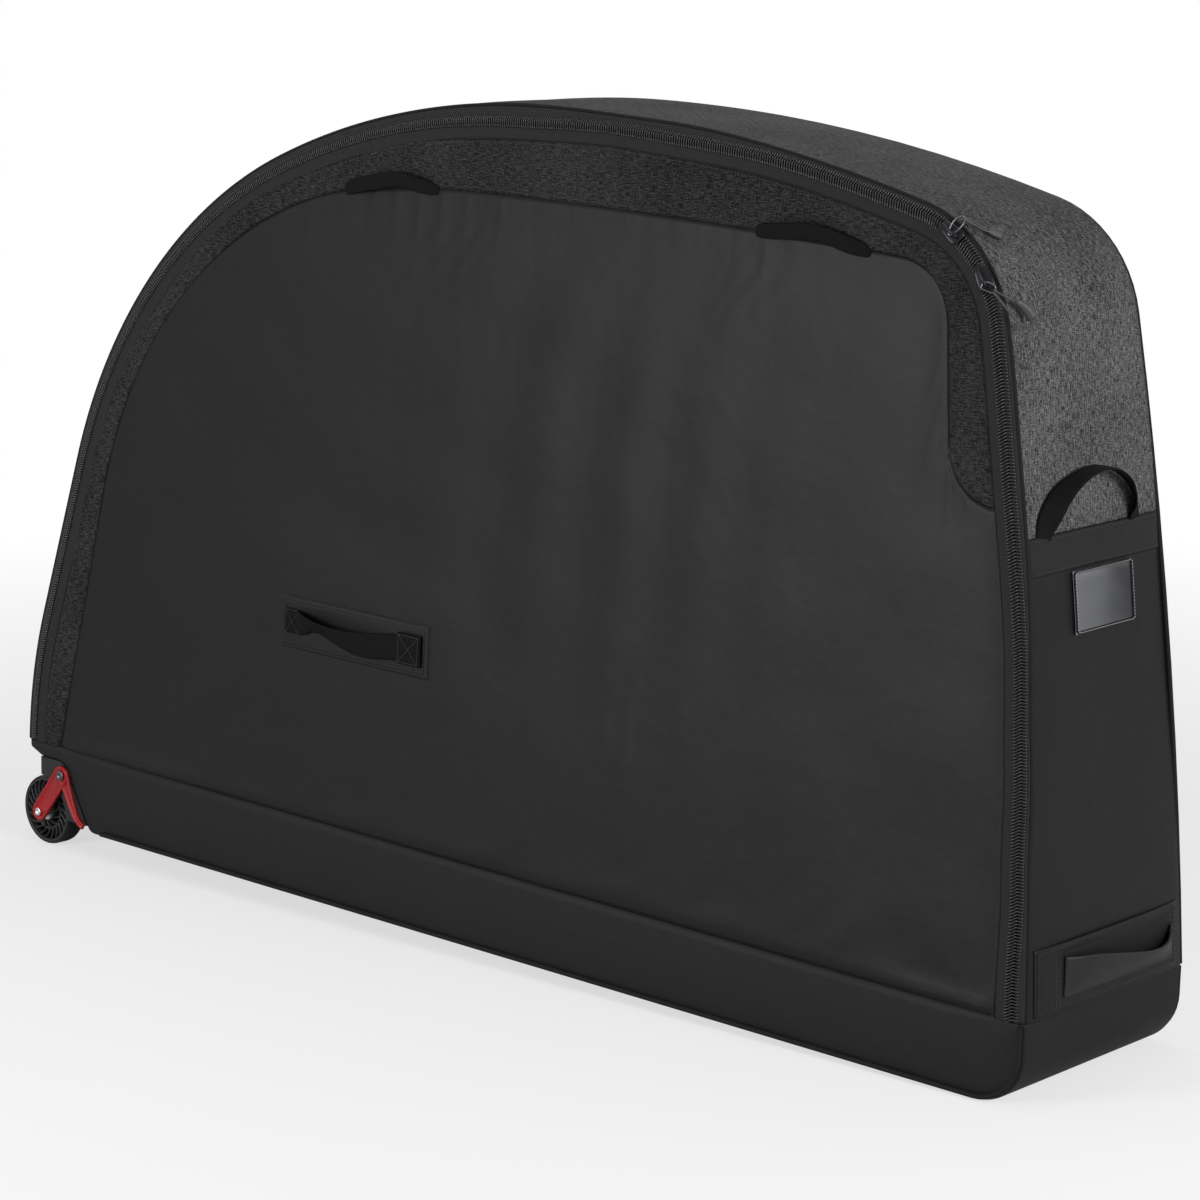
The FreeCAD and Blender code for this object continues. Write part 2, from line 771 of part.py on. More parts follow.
def field_profile(inset):
    """Outline of the dark field: rear side, crown, front corner, a cove out to the zip and the front edge."""
    top = S.apex_height - S.seam_height
    foot = Vector(S.field_rear_setback, S.door_lift, 0)
    apex = Vector(S.field_apex_setback, top - S.field_apex_drop, 0)
    corner = Vector(S.case_length - S.field_corner_setback, top - S.field_corner_drop, 0)
    runs = rise(foot, math.radians(S.field_lean), S.field_shoulder_radius, S.field_crown_radius, apex)
    crown, crown_radius, joint = fall(apex, corner, S.field_corner_radius)
    slant = math.atan2(S.field_run_out, S.field_run_height)
    runs.append(("arc", crown, crown_radius, math.pi / 2, joint))
    runs.append(("arc", corner, S.field_corner_radius, joint, slant))
    run_top = polar(corner, S.field_corner_radius, slant)
    run_foot = run_top + Vector(S.field_run_out, -S.field_run_height, 0)
    cove = polar(run_foot, S.field_cove_radius, slant)
    cove_end = cove - Vector(0, S.field_cove_radius, 0)
    edge = PANEL.inset(inset).cut_at(S.door_lift).runs[-1]
    edge_start = polar(edge[1], edge[2], math.asin((cove_end.y - edge[1].y) / edge[2]))
    front = Arch([("arc", edge[1], edge[2], bearing_of(edge[1], edge_start), edge[4])])
    curves = Arch(runs).curves() + [Part.LineSegment(run_top, run_foot)]
    curves.append(Part.ArcOfCircle(Part.Circle(cove, Vector(0, 0, 1), S.field_cove_radius), math.pi + slant,
                                   3 * math.pi / 2))
    curves.append(Part.LineSegment(cove_end, edge_start))
    return curves + front.curves() + [Part.LineSegment(front.end(), foot)]


def make_panels():
    """Skin field, cloth band, foam and lining of both side panels."""
    for side, name, inset in ((NEAR, "door", S.door_inset), (FAR, "back", S.rim_thickness + S.panel_fit)):
        skin_low = -S.skin_thickness
        foam_low = skin_low - S.foam_thickness
        node(layer(f"{name}_field", side, field_profile(inset), skin_low, "skin_thickness"), f"{name}_field")
        whole = layer(f"{name}_skin", side, door_profile(inset), skin_low, "skin_thickness")
        tool = layer(f"{name}_field_tool", side, field_profile(inset), skin_low, "skin_thickness")
        cloth = doc.addObject("Part::Cut", f"{name}_band")
        cloth.Base = whole
        cloth.Tool = tool
        node(cloth, f"{name}_band")
        foam = layer(f"{name}_foam", side, door_profile(inset + S.foam_inset), foam_low, "foam_thickness")
        node(foam, f"{name}_foam")
        liner_low = foam_low - S.liner_thickness
        liner = layer(f"{name}_liner", side, door_profile(inset), liner_low, "liner_thickness")
        node(liner, f"{name}_liner")


# Webbing

def webbing_loop(label, frame, span, height):
    """Arched strap that stands on its two feet in the frame's y-z plane, thin along x."""
    radius = (span * span / 4 + height * height) / (2 * height)
    foot_angle = math.asin((radius - height) / radius)
    inner, outer = radius - S.strap_width / 2, radius + S.strap_width / 2
    centre = Vector(0, S.strap_lift - inner * math.sin(foot_angle), 0)
    arcs = [Part.ArcOfCircle(Part.Circle(centre, Vector(0, 0, 1), r), foot_angle, math.pi - foot_angle)
            for r in (inner, outer)]
    feet = [Part.LineSegment(polar(centre, inner, a), polar(centre, outer, a))
            for a in (foot_angle, math.pi - foot_angle)]
    strap = body(label, frame)
    pad(strap, "YZ_Plane", arcs + feet, "sizes.strap_thickness", S.strap_stand_off)
    node(strap, label)


def make_webbing():
    """Two loops on the door with their tabs, the loop on the front end and the grab handle on its patch."""
    tabs = []
    for label, setback in (("door_loop_rear", S.rear_loop_setback),
                           ("door_loop_front", S.case_length - S.front_loop_setback)):
        place = Vector(setback, LOOP_LEVEL, 0)
        webbing_loop(label, door_frame(place, 90), S.door_loop_span, S.door_loop_rise)
        for end in (-1, 1):
            middle = setback + end * S.door_loop_span / 2
            outline = rectangle(middle - S.tab_width / 2, LOOP_LEVEL - S.tab_height,
                                middle + S.tab_width / 2, LOOP_LEVEL)
            tabs.append(layer("loop_tab", NEAR, outline, 0, "tab_thickness"))
    group("loop_tabs", tabs)
    loop_seat = front_frame(S.band_top).multiply(Placement(Vector(0, -S.end_loop_offset, 0), Rotation()))
    webbing_loop("end_loop", loop_seat, S.end_loop_span, S.end_loop_rise)
    end = S.patch_setback + S.patch_length
    patch = rectangle(S.patch_setback, S.patch_level, end, S.patch_level + S.patch_height)
    node(layer("grab_patch", NEAR, patch, 0, "patch_thickness"), "grab_patch")
    stops = [0, S.grab_root, S.grab_root + S.grab_ramp]
    places = [S.patch_setback + stop for stop in stops] + [end - stop for stop in reversed(stops)]
    rises = [0, 0, S.grab_rise, S.grab_rise, 0, 0]
    under = [Vector(x, -(S.patch_thickness + up), 0) for x, up in zip(places, rises)]
    over = [point - Vector(0, S.strap_thickness, 0) for point in reversed(under)]
    grab = body("grab_handle", side_frame(NEAR))
    pad(grab, "XY_Plane", closed(under + over), "sizes.grab_width",
        S.patch_level + (S.patch_height - S.grab_width) / 2)
    node(grab, "grab_handle")


# Front end

def front_strip(label, low, high, inner, depth, middle, width, length):
    """Flat piece that follows the front end between two heights, from an inner face outwards."""
    ends = [math.asin((height - FRONT.y) / S.front_radius) for height in (high, low)]
    arch = Arch([("arc", FRONT, S.front_radius, *ends)])
    out, back = arch.inset(-(inner + depth)), arch.inset(-inner)
    ends = [Part.LineSegment(out.start(), back.start()), Part.LineSegment(out.end(), back.end())]
    thing = body(label)
    pad(thing, "XZ_Plane", out.curves() + back.curves() + ends, length, -(middle + width / 2))
    node(thing, label)


def make_front_end():
    """Webbing band, card and its window, the grip's backing and the grip."""
    band_low = S.band_top - S.band_height
    width = 2 * (half_width(S.band_top) - S.band_edge)
    taper = "(sizes.seam_width - sizes.top_width) * (sizes.band_top - sizes.seam_height)"
    full = f"sizes.seam_width - {taper} / (sizes.apex_height - sizes.seam_height) - 2 * sizes.band_edge"
    front_strip("end_band", band_low, S.band_top, 0, S.band_thickness, 0, width, full)
    card_top = band_low - S.card_gap
    card_low = card_top - S.card_height
    for label, inner, depth in (("id_card", 0, S.card_thickness),
                                ("id_window", S.card_thickness, S.window_thickness)):
        front_strip(label, card_low, card_top, inner, depth, S.card_offset, S.card_width, "sizes.card_width")
    backing_top = S.backing_bottom + S.backing_height
    front_strip("grip_backing", S.backing_bottom, backing_top, 0, S.backing_thickness, 0, S.backing_width,
                "sizes.backing_width")
    seat = S.backing_thickness + S.cord_gap
    depth, wall, height = S.grip_depth, S.grip_wall, S.grip_height
    hook = [Vector(seat, 0, 0), Vector(depth, 0, 0), Vector(depth, height, 0),
            Vector(depth - wall, height, 0), Vector(depth - wall, wall, 0), Vector(seat, wall, 0)]
    grip = body("end_grip", front_frame(S.backing_bottom + S.grip_level))
    pad(grip, "XZ_Plane", rounded(hook, [0, wall, 0, 0, 0, 0]), "sizes.grip_width", both=True)
    node(grip, "end_grip")


# Wheels

def make_wheel(side, name):
    """Tyre, spoked hub and bearings of one wheel."""
    rim_radius = S.wheel_radius - S.tyre_depth
    inner, outer = S.wheel_reach - S.wheel_width / 2, S.wheel_reach + S.wheel_width / 2
    chamfer = S.tyre_chamfer
    tyre = body(f"tyre_{name}", wheel_frame(side))
    revolve(tyre, [(rim_radius, inner), (S.wheel_radius - chamfer, inner), (S.wheel_radius, inner + chamfer),
                   (S.wheel_radius, outer - chamfer), (S.wheel_radius - chamfer, outer), (rim_radius, outer)])
    node(tyre, f"tyre_{name}")
    web_in, web_out = S.wheel_reach - S.hub_web / 2, S.wheel_reach + S.hub_web / 2
    bore, boss, flange = S.bearing_radius, S.hub_boss_radius, rim_radius - S.hub_rim
    hub = body(f"hub_{name}", wheel_frame(side))
    revolve(hub, [(bore, inner), (boss, inner), (boss, web_in), (flange, web_in), (flange, inner),
                  (rim_radius, inner), (rim_radius, outer), (flange, outer), (flange, web_out),
                  (boss, web_out), (boss, outer), (bore, outer)])
    half = math.radians(S.spoke_window) / 2
    near_edge = boss + (flange - boss) * WINDOW_SHARES[0]
    far_edge = boss + (flange - boss) * WINDOW_SHARES[1]
    window = []
    for radius in (near_edge, far_edge):
        window += Arch([("arc", Vector(), radius, half, -half)]).curves()
    for edge in (half, -half):
        window.append(Part.LineSegment(polar(Vector(), near_edge, edge), polar(Vector(), far_edge, edge)))
    cut = pocket(hub, "XZ_Plane", window)
    repeat(hub, cut, "sizes.hub_spokes")
    node(hub, f"hub_{name}")
    hole = S.axle_radius + S.running_gap
    bearings = []
    for low in (inner, outer - S.bearing_width):
        race = body(f"bearing_{name}", wheel_frame(side))
        high = low + S.bearing_width
        revolve(race, [(hole, low), (bore, low), (bore, high), (hole, high)])
        bearings.append(race)
    group(f"bearings_{name}", bearings)


def housing_corners():
    """Upper rear, upper front and toe corners of a wheel housing, against the base's recess."""
    top = Vector(S.recess_length, S.recess_height, 0)
    toe = Vector(RECESS_TOE, underside(RECESS_TOE), 0)
    return Vector(S.recess_chamfer, S.recess_height, 0), top, top + (toe - top) * HOUSING_TOE_SHARE


def make_housing(side, name):
    """Moulded housing with the wheel's well and the cheek that carries the axle, and its bracket."""
    rear, top, toe = housing_corners()
    well = S.wheel_radius + S.well_gap
    well_toe = Vector(AXLE.x + math.sqrt(well ** 2 - (toe.y - AXLE.y) ** 2), toe.y, 0)
    well_top = Vector(rear.x, AXLE.y + math.sqrt(well ** 2 - (rear.x - AXLE.x) ** 2), 0)
    start, end, arc = rounded_corner(rear, top, toe, S.recess_top_radius)
    hollow = Arch([("arc", AXLE, well, bearing_of(AXLE, well_top), bearing_of(AXLE, well_toe))])
    block = [Part.LineSegment(rear, start)] + arc
    block += [Part.LineSegment(end, toe), Part.LineSegment(toe, well_toe)]
    block += hollow.curves() + [Part.LineSegment(well_top, rear)]
    boss = S.cheek_boss_radius
    cheek = [rear, top, toe]
    cheek += [AXLE + Vector(x * boss, y * boss, 0) for x, y in ((1, -1), (-1, -1), (-1, 1))]
    housing = body(f"wheel_housing_{name}")
    pad_out(housing, side, block, CHEEK_REACH,
            "sizes.base_width / 2 - sizes.wheel_reach + sizes.wheel_width / 2 + sizes.cheek_gap",
            HALF_BASE - CHEEK_REACH)
    pad_out(housing, side, rounded(cheek, [0, S.recess_top_radius, 0, 0, boss, boss / 2]),
            CHEEK_REACH - S.cheek_thickness, "sizes.cheek_thickness", S.cheek_thickness)
    pocket(housing, "XZ_Plane", ring(AXLE, S.axle_radius))
    pocket(housing, "XZ_Plane", ring(PIVOT, S.housing_bolt_radius))
    node(housing, f"wheel_housing_{name}")
    leg = Vector(S.bracket_leg_setback, S.bracket_leg_height, 0)
    bracket = body(f"wheel_bracket_{name}")
    for curves in (stadium(PIVOT, AXLE, S.bracket_arm_radius), stadium(PIVOT, leg, S.bracket_leg_radius)):
        pad_out(bracket, side, curves, HALF_BASE, "sizes.bracket_thickness", S.bracket_thickness)
    pocket(bracket, "XZ_Plane", ring(AXLE, S.axle_radius))
    pocket(bracket, "XZ_Plane", ring(PIVOT, S.housing_bolt_radius))
    node(bracket, f"wheel_bracket_{name}")


def make_axles():
    """Axle bolts with their nuts, spacers and the brackets' pivot bolts, both sides in one group each."""
    bolts, spacers, pivots = [], [], []
    face = HALF_BASE + S.bracket_thickness
    for side in (NEAR, FAR):
        bolt = body("axle_bolt", wheel_frame(side))
        nut_face = CHEEK_REACH - S.cheek_thickness
        nut_end, head_end = nut_face - S.bolt_head_height, face + S.bolt_head_height
        revolve(bolt, [(0, nut_end), (S.bolt_head_radius, nut_end), (S.bolt_head_radius, nut_face),
                       (S.axle_radius, nut_face), (S.axle_radius, face), (S.bolt_head_radius, face),
                       (S.bolt_head_radius, head_end), (0, head_end)])
        bolts.append(bolt)
        outer_face = S.wheel_reach + S.wheel_width / 2 + S.side_gap
        inner_face = S.wheel_reach - S.wheel_width / 2 - S.side_gap
        for low, high in ((outer_face, HALF_BASE), (CHEEK_REACH, inner_face)):
            spacer = body("axle_spacer", wheel_frame(side))
            revolve(spacer, [(S.axle_radius, low), (S.spacer_radius, low), (S.spacer_radius, high),
                             (S.axle_radius, high)])
            spacers.append(spacer)
        seat = Placement(Vector(PIVOT.x, side * face, PIVOT.y), wheel_frame(side).Rotation)
        pivots.append(headed("pivot_bolt", seat, S.housing_bolt_radius, S.housing_bolt_depth,
                             S.bolt_head_radius, S.bolt_head_height))
    group("axle_bolts", bolts)
    group("axle_spacers", spacers)
    group("pivot_bolts", pivots)


# Rack

def make_stand(name, offset, height, head_radius, head_width, bore_radius):
    """Stand that straddles the rail (shoe, column, cross head with the axle's bore) and its clamp knob."""
    top = getattr(S, height)
    seat = rail_frame(S.board_thickness).multiply(Placement(Vector(offset, 0, 0), Rotation()))
    inner = S.rail_width / 2 + S.side_gap
    outer = inner + S.shoe_wall
    roof = S.rail_height + S.side_gap
    crown = roof + S.shoe_wall
    foot = roof - S.shoe_drop
    right = [Vector(inner, roof, 0), Vector(inner, foot, 0), Vector(outer, foot, 0), Vector(outer, crown, 0)]
    saddle = right + [Vector(-point.x, point.y, 0) for point in reversed(right)]
    stand = body(f"{name}_stand", seat)
    pad(stand, "YZ_Plane", closed(saddle), "sizes.shoe_length", both=True)
    half_x, half_y = S.column_length / 2, S.column_width / 2
    pad(stand, "XY_Plane", rectangle(-half_x, -half_y, half_x, half_y),
        f"sizes.{height} - sizes.rail_height - sizes.side_gap - sizes.shoe_wall", crown)
    axis = Vector(0, top, 0)
    pad(stand, "XZ_Plane", ring(axis, head_radius), f"sizes.{head_width}", both=True)
    pocket(stand, "XZ_Plane", ring(axis, bore_radius))
    stud = Vector(0, S.stud_level, 0)
    stud_hole = ring(stud, S.stud_radius + S.running_gap)
    pocket(stand, "XZ_Plane", stud_hole, "2 * sizes.shoe_wall", inner + S.shoe_wall / 2)
    node(stand, f"{name}_stand")
    face = outer - S.rail_width / 2 + S.side_gap
    knob_seat = Placement(Vector(0, -S.rail_width / 2, S.stud_level), Rotation(Vector(0, 0, 1), 180))
    knob = body(f"{name}_knob", seat.multiply(knob_seat))
    tip = S.side_gap / 2
    revolve(knob, [(0, tip), (S.stud_radius, tip), (S.stud_radius, face), (S.knob_radius, face),
                   (S.knob_radius, face + S.knob_depth), (0, face + S.knob_depth)])
    cut = pocket(knob, "XZ_Plane", ring(Vector(S.knob_radius, 0, 0), S.knob_scallop))
    repeat(knob, cut, "sizes.knob_lobes")
    node(knob, f"{name}_knob")


# Zip sliders

def chain_place(angle):
    """Point of the zip's middle line on the front upper corner, in the door's plane."""
    return polar(CORNER - Vector(0, S.seam_height, 0), S.corner_radius - S.zip_inset, math.radians(angle))


def make_slider(name, angle, pull_angle):
    """Slider over the coil with a round post, and the tab that hangs from the post."""
    place = chain_place(angle)
    base = S.tape_thickness + S.coil_height + S.slider_gap
    half_across, half_along = S.slider_width / 2, S.slider_length / 2
    slider = body(f"zip_slider_{name}", door_frame(place, angle + 90))
    plate = rectangle(-half_across, -half_along, half_across, half_along)
    pad(slider, "YZ_Plane", plate, "sizes.slider_thickness", base)
    post = ring(Vector(), S.bail_width / 2)
    pad(slider, "YZ_Plane", post, "sizes.slider_thickness + sizes.bail_height", base)
    node(slider, f"zip_slider_{name}")
    start = S.bail_width / 2 + S.pull_clearance
    half = S.pull_width / 2
    tab = [Vector(-half, start, 0), Vector(half, start, 0), Vector(half, start + S.pull_length, 0),
           Vector(-half, start + S.pull_length, 0)]
    pull = body(f"zip_pull_{name}", door_frame(place, pull_angle))
    nose = half * PULL_ROUND_SHARE
    pad(pull, "YZ_Plane", rounded(tab, [0, 0, nose, nose]), "sizes.pull_thickness",
        base + S.slider_thickness + S.pull_lift)
    node(pull, f"zip_pull_{name}")


make_tray()
make_boot_cords()
make_board_and_rail()
make_rim()
make_zip()
make_edge_cords()
make_hoops()
make_panels()
make_webbing()
make_front_end()
for wheel_side, wheel_name in ((NEAR, "near"), (FAR, "far")):
    make_wheel(wheel_side, wheel_name)
    make_housing(wheel_side, wheel_name)
make_axles()
make_stand("fork", S.fork_offset, "fork_axle_height", S.fork_head_radius, "fork_head_width",
           S.fork_bore_radius)
make_stand("stay", S.stay_offset, "stay_axle_height", S.stay_head_radius, "stay_head_width",
           S.stay_bore_radius)
make_slider("upper", S.upper_slider_angle, S.upper_pull_angle)
make_slider("lower", S.lower_slider_angle, S.lower_pull_angle)
doc.recompute()

for thing in doc.Objects:
    if "Invalid" in thing.State or "Error" in thing.State:
        raise RuntimeError(f"{thing.Label} failed: {thing.State}")
for thing in nodes:
    if thing.Shape.isNull() or not thing.Shape.isValid():
        raise RuntimeError(f"{thing.Label} has no sound shape")
os.makedirs("parts", exist_ok=True)
for thing in nodes:
    thing.Shape.exportStep(f"parts/{thing.Label}.step")
print(len(nodes), "sub-parts written")
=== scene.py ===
"""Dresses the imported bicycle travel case: padded cloth panels, zip, webbing, boot, wheels and the studio."""
import json
import math

import bmesh
import bpy
import numpy as np
from mathutils import Matrix


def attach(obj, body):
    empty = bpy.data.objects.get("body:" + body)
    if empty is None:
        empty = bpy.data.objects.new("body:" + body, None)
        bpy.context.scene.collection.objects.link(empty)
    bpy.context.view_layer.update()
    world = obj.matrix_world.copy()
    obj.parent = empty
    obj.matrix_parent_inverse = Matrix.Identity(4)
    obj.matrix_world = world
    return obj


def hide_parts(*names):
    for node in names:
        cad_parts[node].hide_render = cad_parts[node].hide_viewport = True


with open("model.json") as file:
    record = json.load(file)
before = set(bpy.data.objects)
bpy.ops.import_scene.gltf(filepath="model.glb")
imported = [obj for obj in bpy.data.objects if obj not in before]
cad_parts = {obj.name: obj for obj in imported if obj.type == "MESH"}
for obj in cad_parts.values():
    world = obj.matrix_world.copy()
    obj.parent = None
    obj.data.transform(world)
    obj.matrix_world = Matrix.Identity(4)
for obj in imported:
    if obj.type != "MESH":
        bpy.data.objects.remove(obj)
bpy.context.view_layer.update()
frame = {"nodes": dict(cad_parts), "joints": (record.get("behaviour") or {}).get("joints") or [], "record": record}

bl_info = {
    "name": "Bicycle Travel Case",
    "version": (1, 0, 0),
    "blender": (4, 5, 0),
    "location": "View3D > Sidebar > Travel Case",
    "description": "Cloth, zip, webbing, boot and wheels of a soft bicycle travel case",
    "category": "Object",
}

# ---------------------------------------------------------------- level case, in metres
# x runs from the rear end to the front end, y across with the zipped side at minus, z up from the underside.
NEAR, FAR = -1, 1
LENGTH, SEAM, HALF_SEAM, HALF_BASE = 1.390, 0.081, 0.123, 0.124
APEX = 0.751 + 0.843j
LEAN = math.atan(0.025 / 0.762)
CORNER, CORNER_RADIUS = 1.195 + 0.6645j, 0.1235
TUCK_RADIUS, REAR_LEAN, SHOULDER_RADIUS, CROWN_RADIUS = 0.530, math.radians(16.5), 0.556, 0.920
FRONT_RADIUS = 4.730
RIM_DEPTH, RIM_CROWN, RIM_RIPPLE, BAND_TOP, BAND_FOOT = 0.010, 0.0030, 0.0008, 0.508, 0.474
FIELD_RUN = 0.009 - 0.104j
DOOR_LIFT, DOOR_INSET, BACK_INSET, PAD_DEPTH = 0.0002, 0.016, 0.0103, 0.0155
LOOP_SPAN, LOOP_PLACES = 0.130, {"rear": 0.560, "front": 1.102}
LOOP_WIDTH, GRAB_WIDTH, END_LOOP_WIDTH = 0.0155, 0.027, 0.021
SKIN_GAP, SKIN, LINING_WALL, BOOT_WALL, GRIP_WALL, PATCH_WALL = 0.0002, 0.0016, 0.0010, 0.0035, 0.0030, 0.0012
AXLE, PIVOT, WHEEL_REACH, WHEEL_WIDTH = 0.019 - 0.001j, 0.059 + 0.049j, 0.105, 0.024

# the photo's camera on the level case: turns in degrees, place, and focal length in picture widths
PHOTO_TURNS, PHOTO_EYE, PHOTO_FOCAL, SENSOR = (42.12, 11.94, 1.30), (3.047, -2.527, 1.067), 3450 / 1200, 36.0

JOINTS = {joint["name"]: joint for joint in frame["joints"]}
AHEAD = np.array(JOINTS["door_hinge"]["axis"], float)
ASIDE = np.array([0.0, 1.0, 0.0])
UPWARD = np.cross(AHEAD, ASIDE)
AXES = np.array([AHEAD, ASIDE, UPWARD])
ORIGIN = np.array(JOINTS["wheel_near_spin"]["pos_m"], float) * (1, 0, 1) - AXLE.real * AHEAD - AXLE.imag * UPWARD


def level(x, y, z):
    """Places of the level case in the shared frame: the origin plus x, y and z along the case's three axes."""
    return np.stack(np.broadcast_arrays(x, y, z), axis=-1) @ AXES + ORIGIN


def panel(side, flat, out):
    """Places on a leaning side panel: flat is along + up the panel as a complex number, out is off its face."""
    turn = side * LEAN
    y = side * HALF_SEAM + side * out * math.cos(turn) - flat.imag * math.sin(turn)
    z = SEAM + side * out * math.sin(turn) + flat.imag * math.cos(turn)
    return level(flat.real, y, z)


def half_width(z):
    """Half the width of the rim at a height: the panels lean together above the seam."""
    return HALF_SEAM - (z - SEAM) * math.tan(LEAN)


# ---------------------------------------------------------------- side view lines
def run_lengths(steps):
    """Lengths from the start of a line: the running sum of its steps."""
    return np.concatenate([[0], np.cumsum(steps)])


def between(at, run, values):
    """Complex values at lengths along a run, straight between its samples."""
    return np.interp(at, run, values.real) + 1j * np.interp(at, run, values.imag)


def line(start, end, step=0.002):
    """Straight run as evenly spaced points."""
    return start + (end - start) * np.linspace(0, 1, max(int(abs(end - start) / step), 2))


def arc(centre, radius, start, end, step=0.002):
    """Arc as a centre plus a radius turned through evenly spaced angles."""
    count = max(int(abs(end - start) * radius / step), 6)
    return centre + radius * np.exp(1j * np.linspace(start, end, count))


def rise(foot, lean, radius, crown_radius, apex):
    """Leaning line from a foot, a shoulder arc tangent to it and a crown arc that is level at the apex."""
    along = np.exp(1j * (math.pi / 2 - lean))
    inward = -1j * along
    crown = apex - 1j * crown_radius
    reach = foot + inward * radius - crown
    half = (reach * np.conj(along)).real
    length = -half + math.sqrt(half ** 2 - abs(reach) ** 2 + (crown_radius - radius) ** 2)
    shoulder = foot + inward * radius + along * length
    joint = np.angle(shoulder - crown)
    return [line(foot, foot + along * length), arc(shoulder, radius, math.pi - lean, joint),
            arc(crown, crown_radius, joint, math.pi / 2)]


def fall(apex, corner, radius):
    """Crown arc that is level at the apex and touches a corner arc: its centre, radius and last angle."""
    away = corner - apex
    crown_radius = (radius ** 2 - abs(away) ** 2) / (2 * (away.imag + radius))
    crown = apex - 1j * crown_radius
    return crown, crown_radius, np.angle(corner - crown)


def bends(points, radii, step=0.002):
    """Polyline with rounded corners: each corner's arc touches both its lines at radius x tan(half the turn)."""
    runs, last = [], points[0]
    for before, here, after, radius in zip(points, points[1:], points[2:], radii):
        first, second = (here - before) / abs(here - before), (after - here) / abs(after - here)
        turn = np.angle(second / first)
        start = here - first * radius * math.tan(abs(turn) / 2)
        centre = start + 1j * np.sign(turn) * first * radius
        runs += [line(last, start, step), arc(centre, radius, np.angle(start - centre), np.angle(start - centre) + turn,
                                              step / 2)]
        last = runs[-1][-1]
    return runs + [line(last, points[-1], step)]


def polyline(points):
    """Straight runs through points, one after another."""
    return np.concatenate([line(start, end) for start, end in zip(points, points[1:])])


class Chain:
    """Line in the side view with its outward direction, which is to the left of the way it runs."""

    def __init__(self, runs):
        place = np.concatenate(runs)
        self.place = place[np.concatenate([[True], np.abs(np.diff(place)) > 1e-6])]
        self.reach = run_lengths(np.abs(np.diff(self.place)))
        way = np.gradient(self.place, self.reach)
        self.normal = 1j * way / np.abs(way)

    def at(self, reach, inset=0.0):
        """Places at lengths along the line, moved inwards by an inset."""
        return between(reach, self.reach, self.place) - inset * self.facing(reach)

    def facing(self, reach):
        """Outward directions at lengths along the line."""
        facing = between(reach, self.reach, self.normal)
        return facing / np.abs(facing)

    def cut(self, low, high=None):
        """The part of the line between two lengths."""
        high = self.reach[-1] if high is None else high
        inner = self.reach[(self.reach > low) & (self.reach < high)]
        return Chain([self.at(np.concatenate([[low], inner, [high]]))])

    def inset(self, depth):
        """The same line moved inwards."""
        return Chain([self.at(self.reach, depth)])


def rim_line():
    """Side outline of the rim from the rear seam over the crown to the front seam."""
    tuck = TUCK_RADIUS + 1j * SEAM
    rear = rise(tuck + TUCK_RADIUS * np.exp(1j * (math.pi - REAR_LEAN)), REAR_LEAN, SHOULDER_RADIUS, CROWN_RADIUS, APEX)
    crown, crown_radius, top = fall(APEX, CORNER, CORNER_RADIUS)
    toe = LENGTH + 1j * SEAM
    gap = CORNER - toe
    along = (FRONT_RADIUS ** 2 - (FRONT_RADIUS - CORNER_RADIUS) ** 2 + abs(gap) ** 2) / (2 * abs(gap))
    unit = gap / abs(gap)
    front = toe + unit * along + 1j * unit * math.sqrt(FRONT_RADIUS ** 2 - along ** 2)
    turn = np.angle(CORNER - front)
    runs = [arc(tuck, TUCK_RADIUS, math.pi, math.pi - REAR_LEAN)] + rear
    runs += [arc(crown, crown_radius, math.pi / 2, top), arc(CORNER, CORNER_RADIUS, top, turn),
             arc(front, FRONT_RADIUS, turn, np.angle(toe - front))]
    return Chain(runs), front


RIM, FRONT = rim_line()
PANEL = Chain([RIM.place - 1j * SEAM])
BAND_REACH = RIM.reach[np.argmax((RIM.place.real > 1.2) & (RIM.place.imag < BAND_TOP))]


def panel_chain(inset):
    """The panel's outline moved inwards, from the lift above the seam at the rear to the same height in front."""
    chain = PANEL.inset(inset)
    inside = np.flatnonzero(chain.place.imag >= DOOR_LIFT)
    return chain.cut(chain.reach[inside[0]], chain.reach[inside[-1]])


def field_chain(inset):
    """Outline of the dark field over the top, its front edge, and where its corner and its cove begin."""
    foot, apex, corner, radius, cove_radius = 0.054 + 1j * DOOR_LIFT, 0.680 + 0.676j, 1.197 + 0.598j, 0.062, 0.052
    runs = rise(foot, math.radians(12.5), 0.470, 1.500, apex)
    crown, crown_radius, joint = fall(apex, corner, radius)
    slant = math.atan2(FIELD_RUN.real, -FIELD_RUN.imag)
    run_top = corner + radius * np.exp(1j * slant)
    run_foot = run_top + FIELD_RUN
    cove = run_foot + cove_radius * np.exp(1j * slant)
    edge = panel_chain(inset)
    lower = edge.reach[np.argmax((edge.place.real > 1.2) & (edge.place.imag < cove.imag - cove_radius))]
    runs += [arc(crown, crown_radius, math.pi / 2, joint), arc(corner, radius, joint, slant), line(run_top, run_foot),
             arc(cove, cove_radius, math.pi + slant, 1.5 * math.pi), line(cove - 1j * cove_radius, edge.at(lower))]
    top = Chain(runs)
    marks = [top.reach[np.argmin(np.abs(top.place - spot))] for spot in (corner + radius * np.exp(0.8j), run_foot)]
    return top, edge.cut(lower), marks


def eased(reach, knots):
    """Value between knots of (length, value), easing in and out of each by half a cosine."""
    places, values = np.array(knots, float).T
    reach = np.clip(reach, places[0], places[-1])
    k = np.clip(np.searchsorted(places, reach, side="right") - 1, 0, len(places) - 2)
    t = (reach - places[k]) / (places[k + 1] - places[k])
    return values[k] + (values[k + 1] - values[k]) * (1 - np.cos(math.pi * t)) / 2


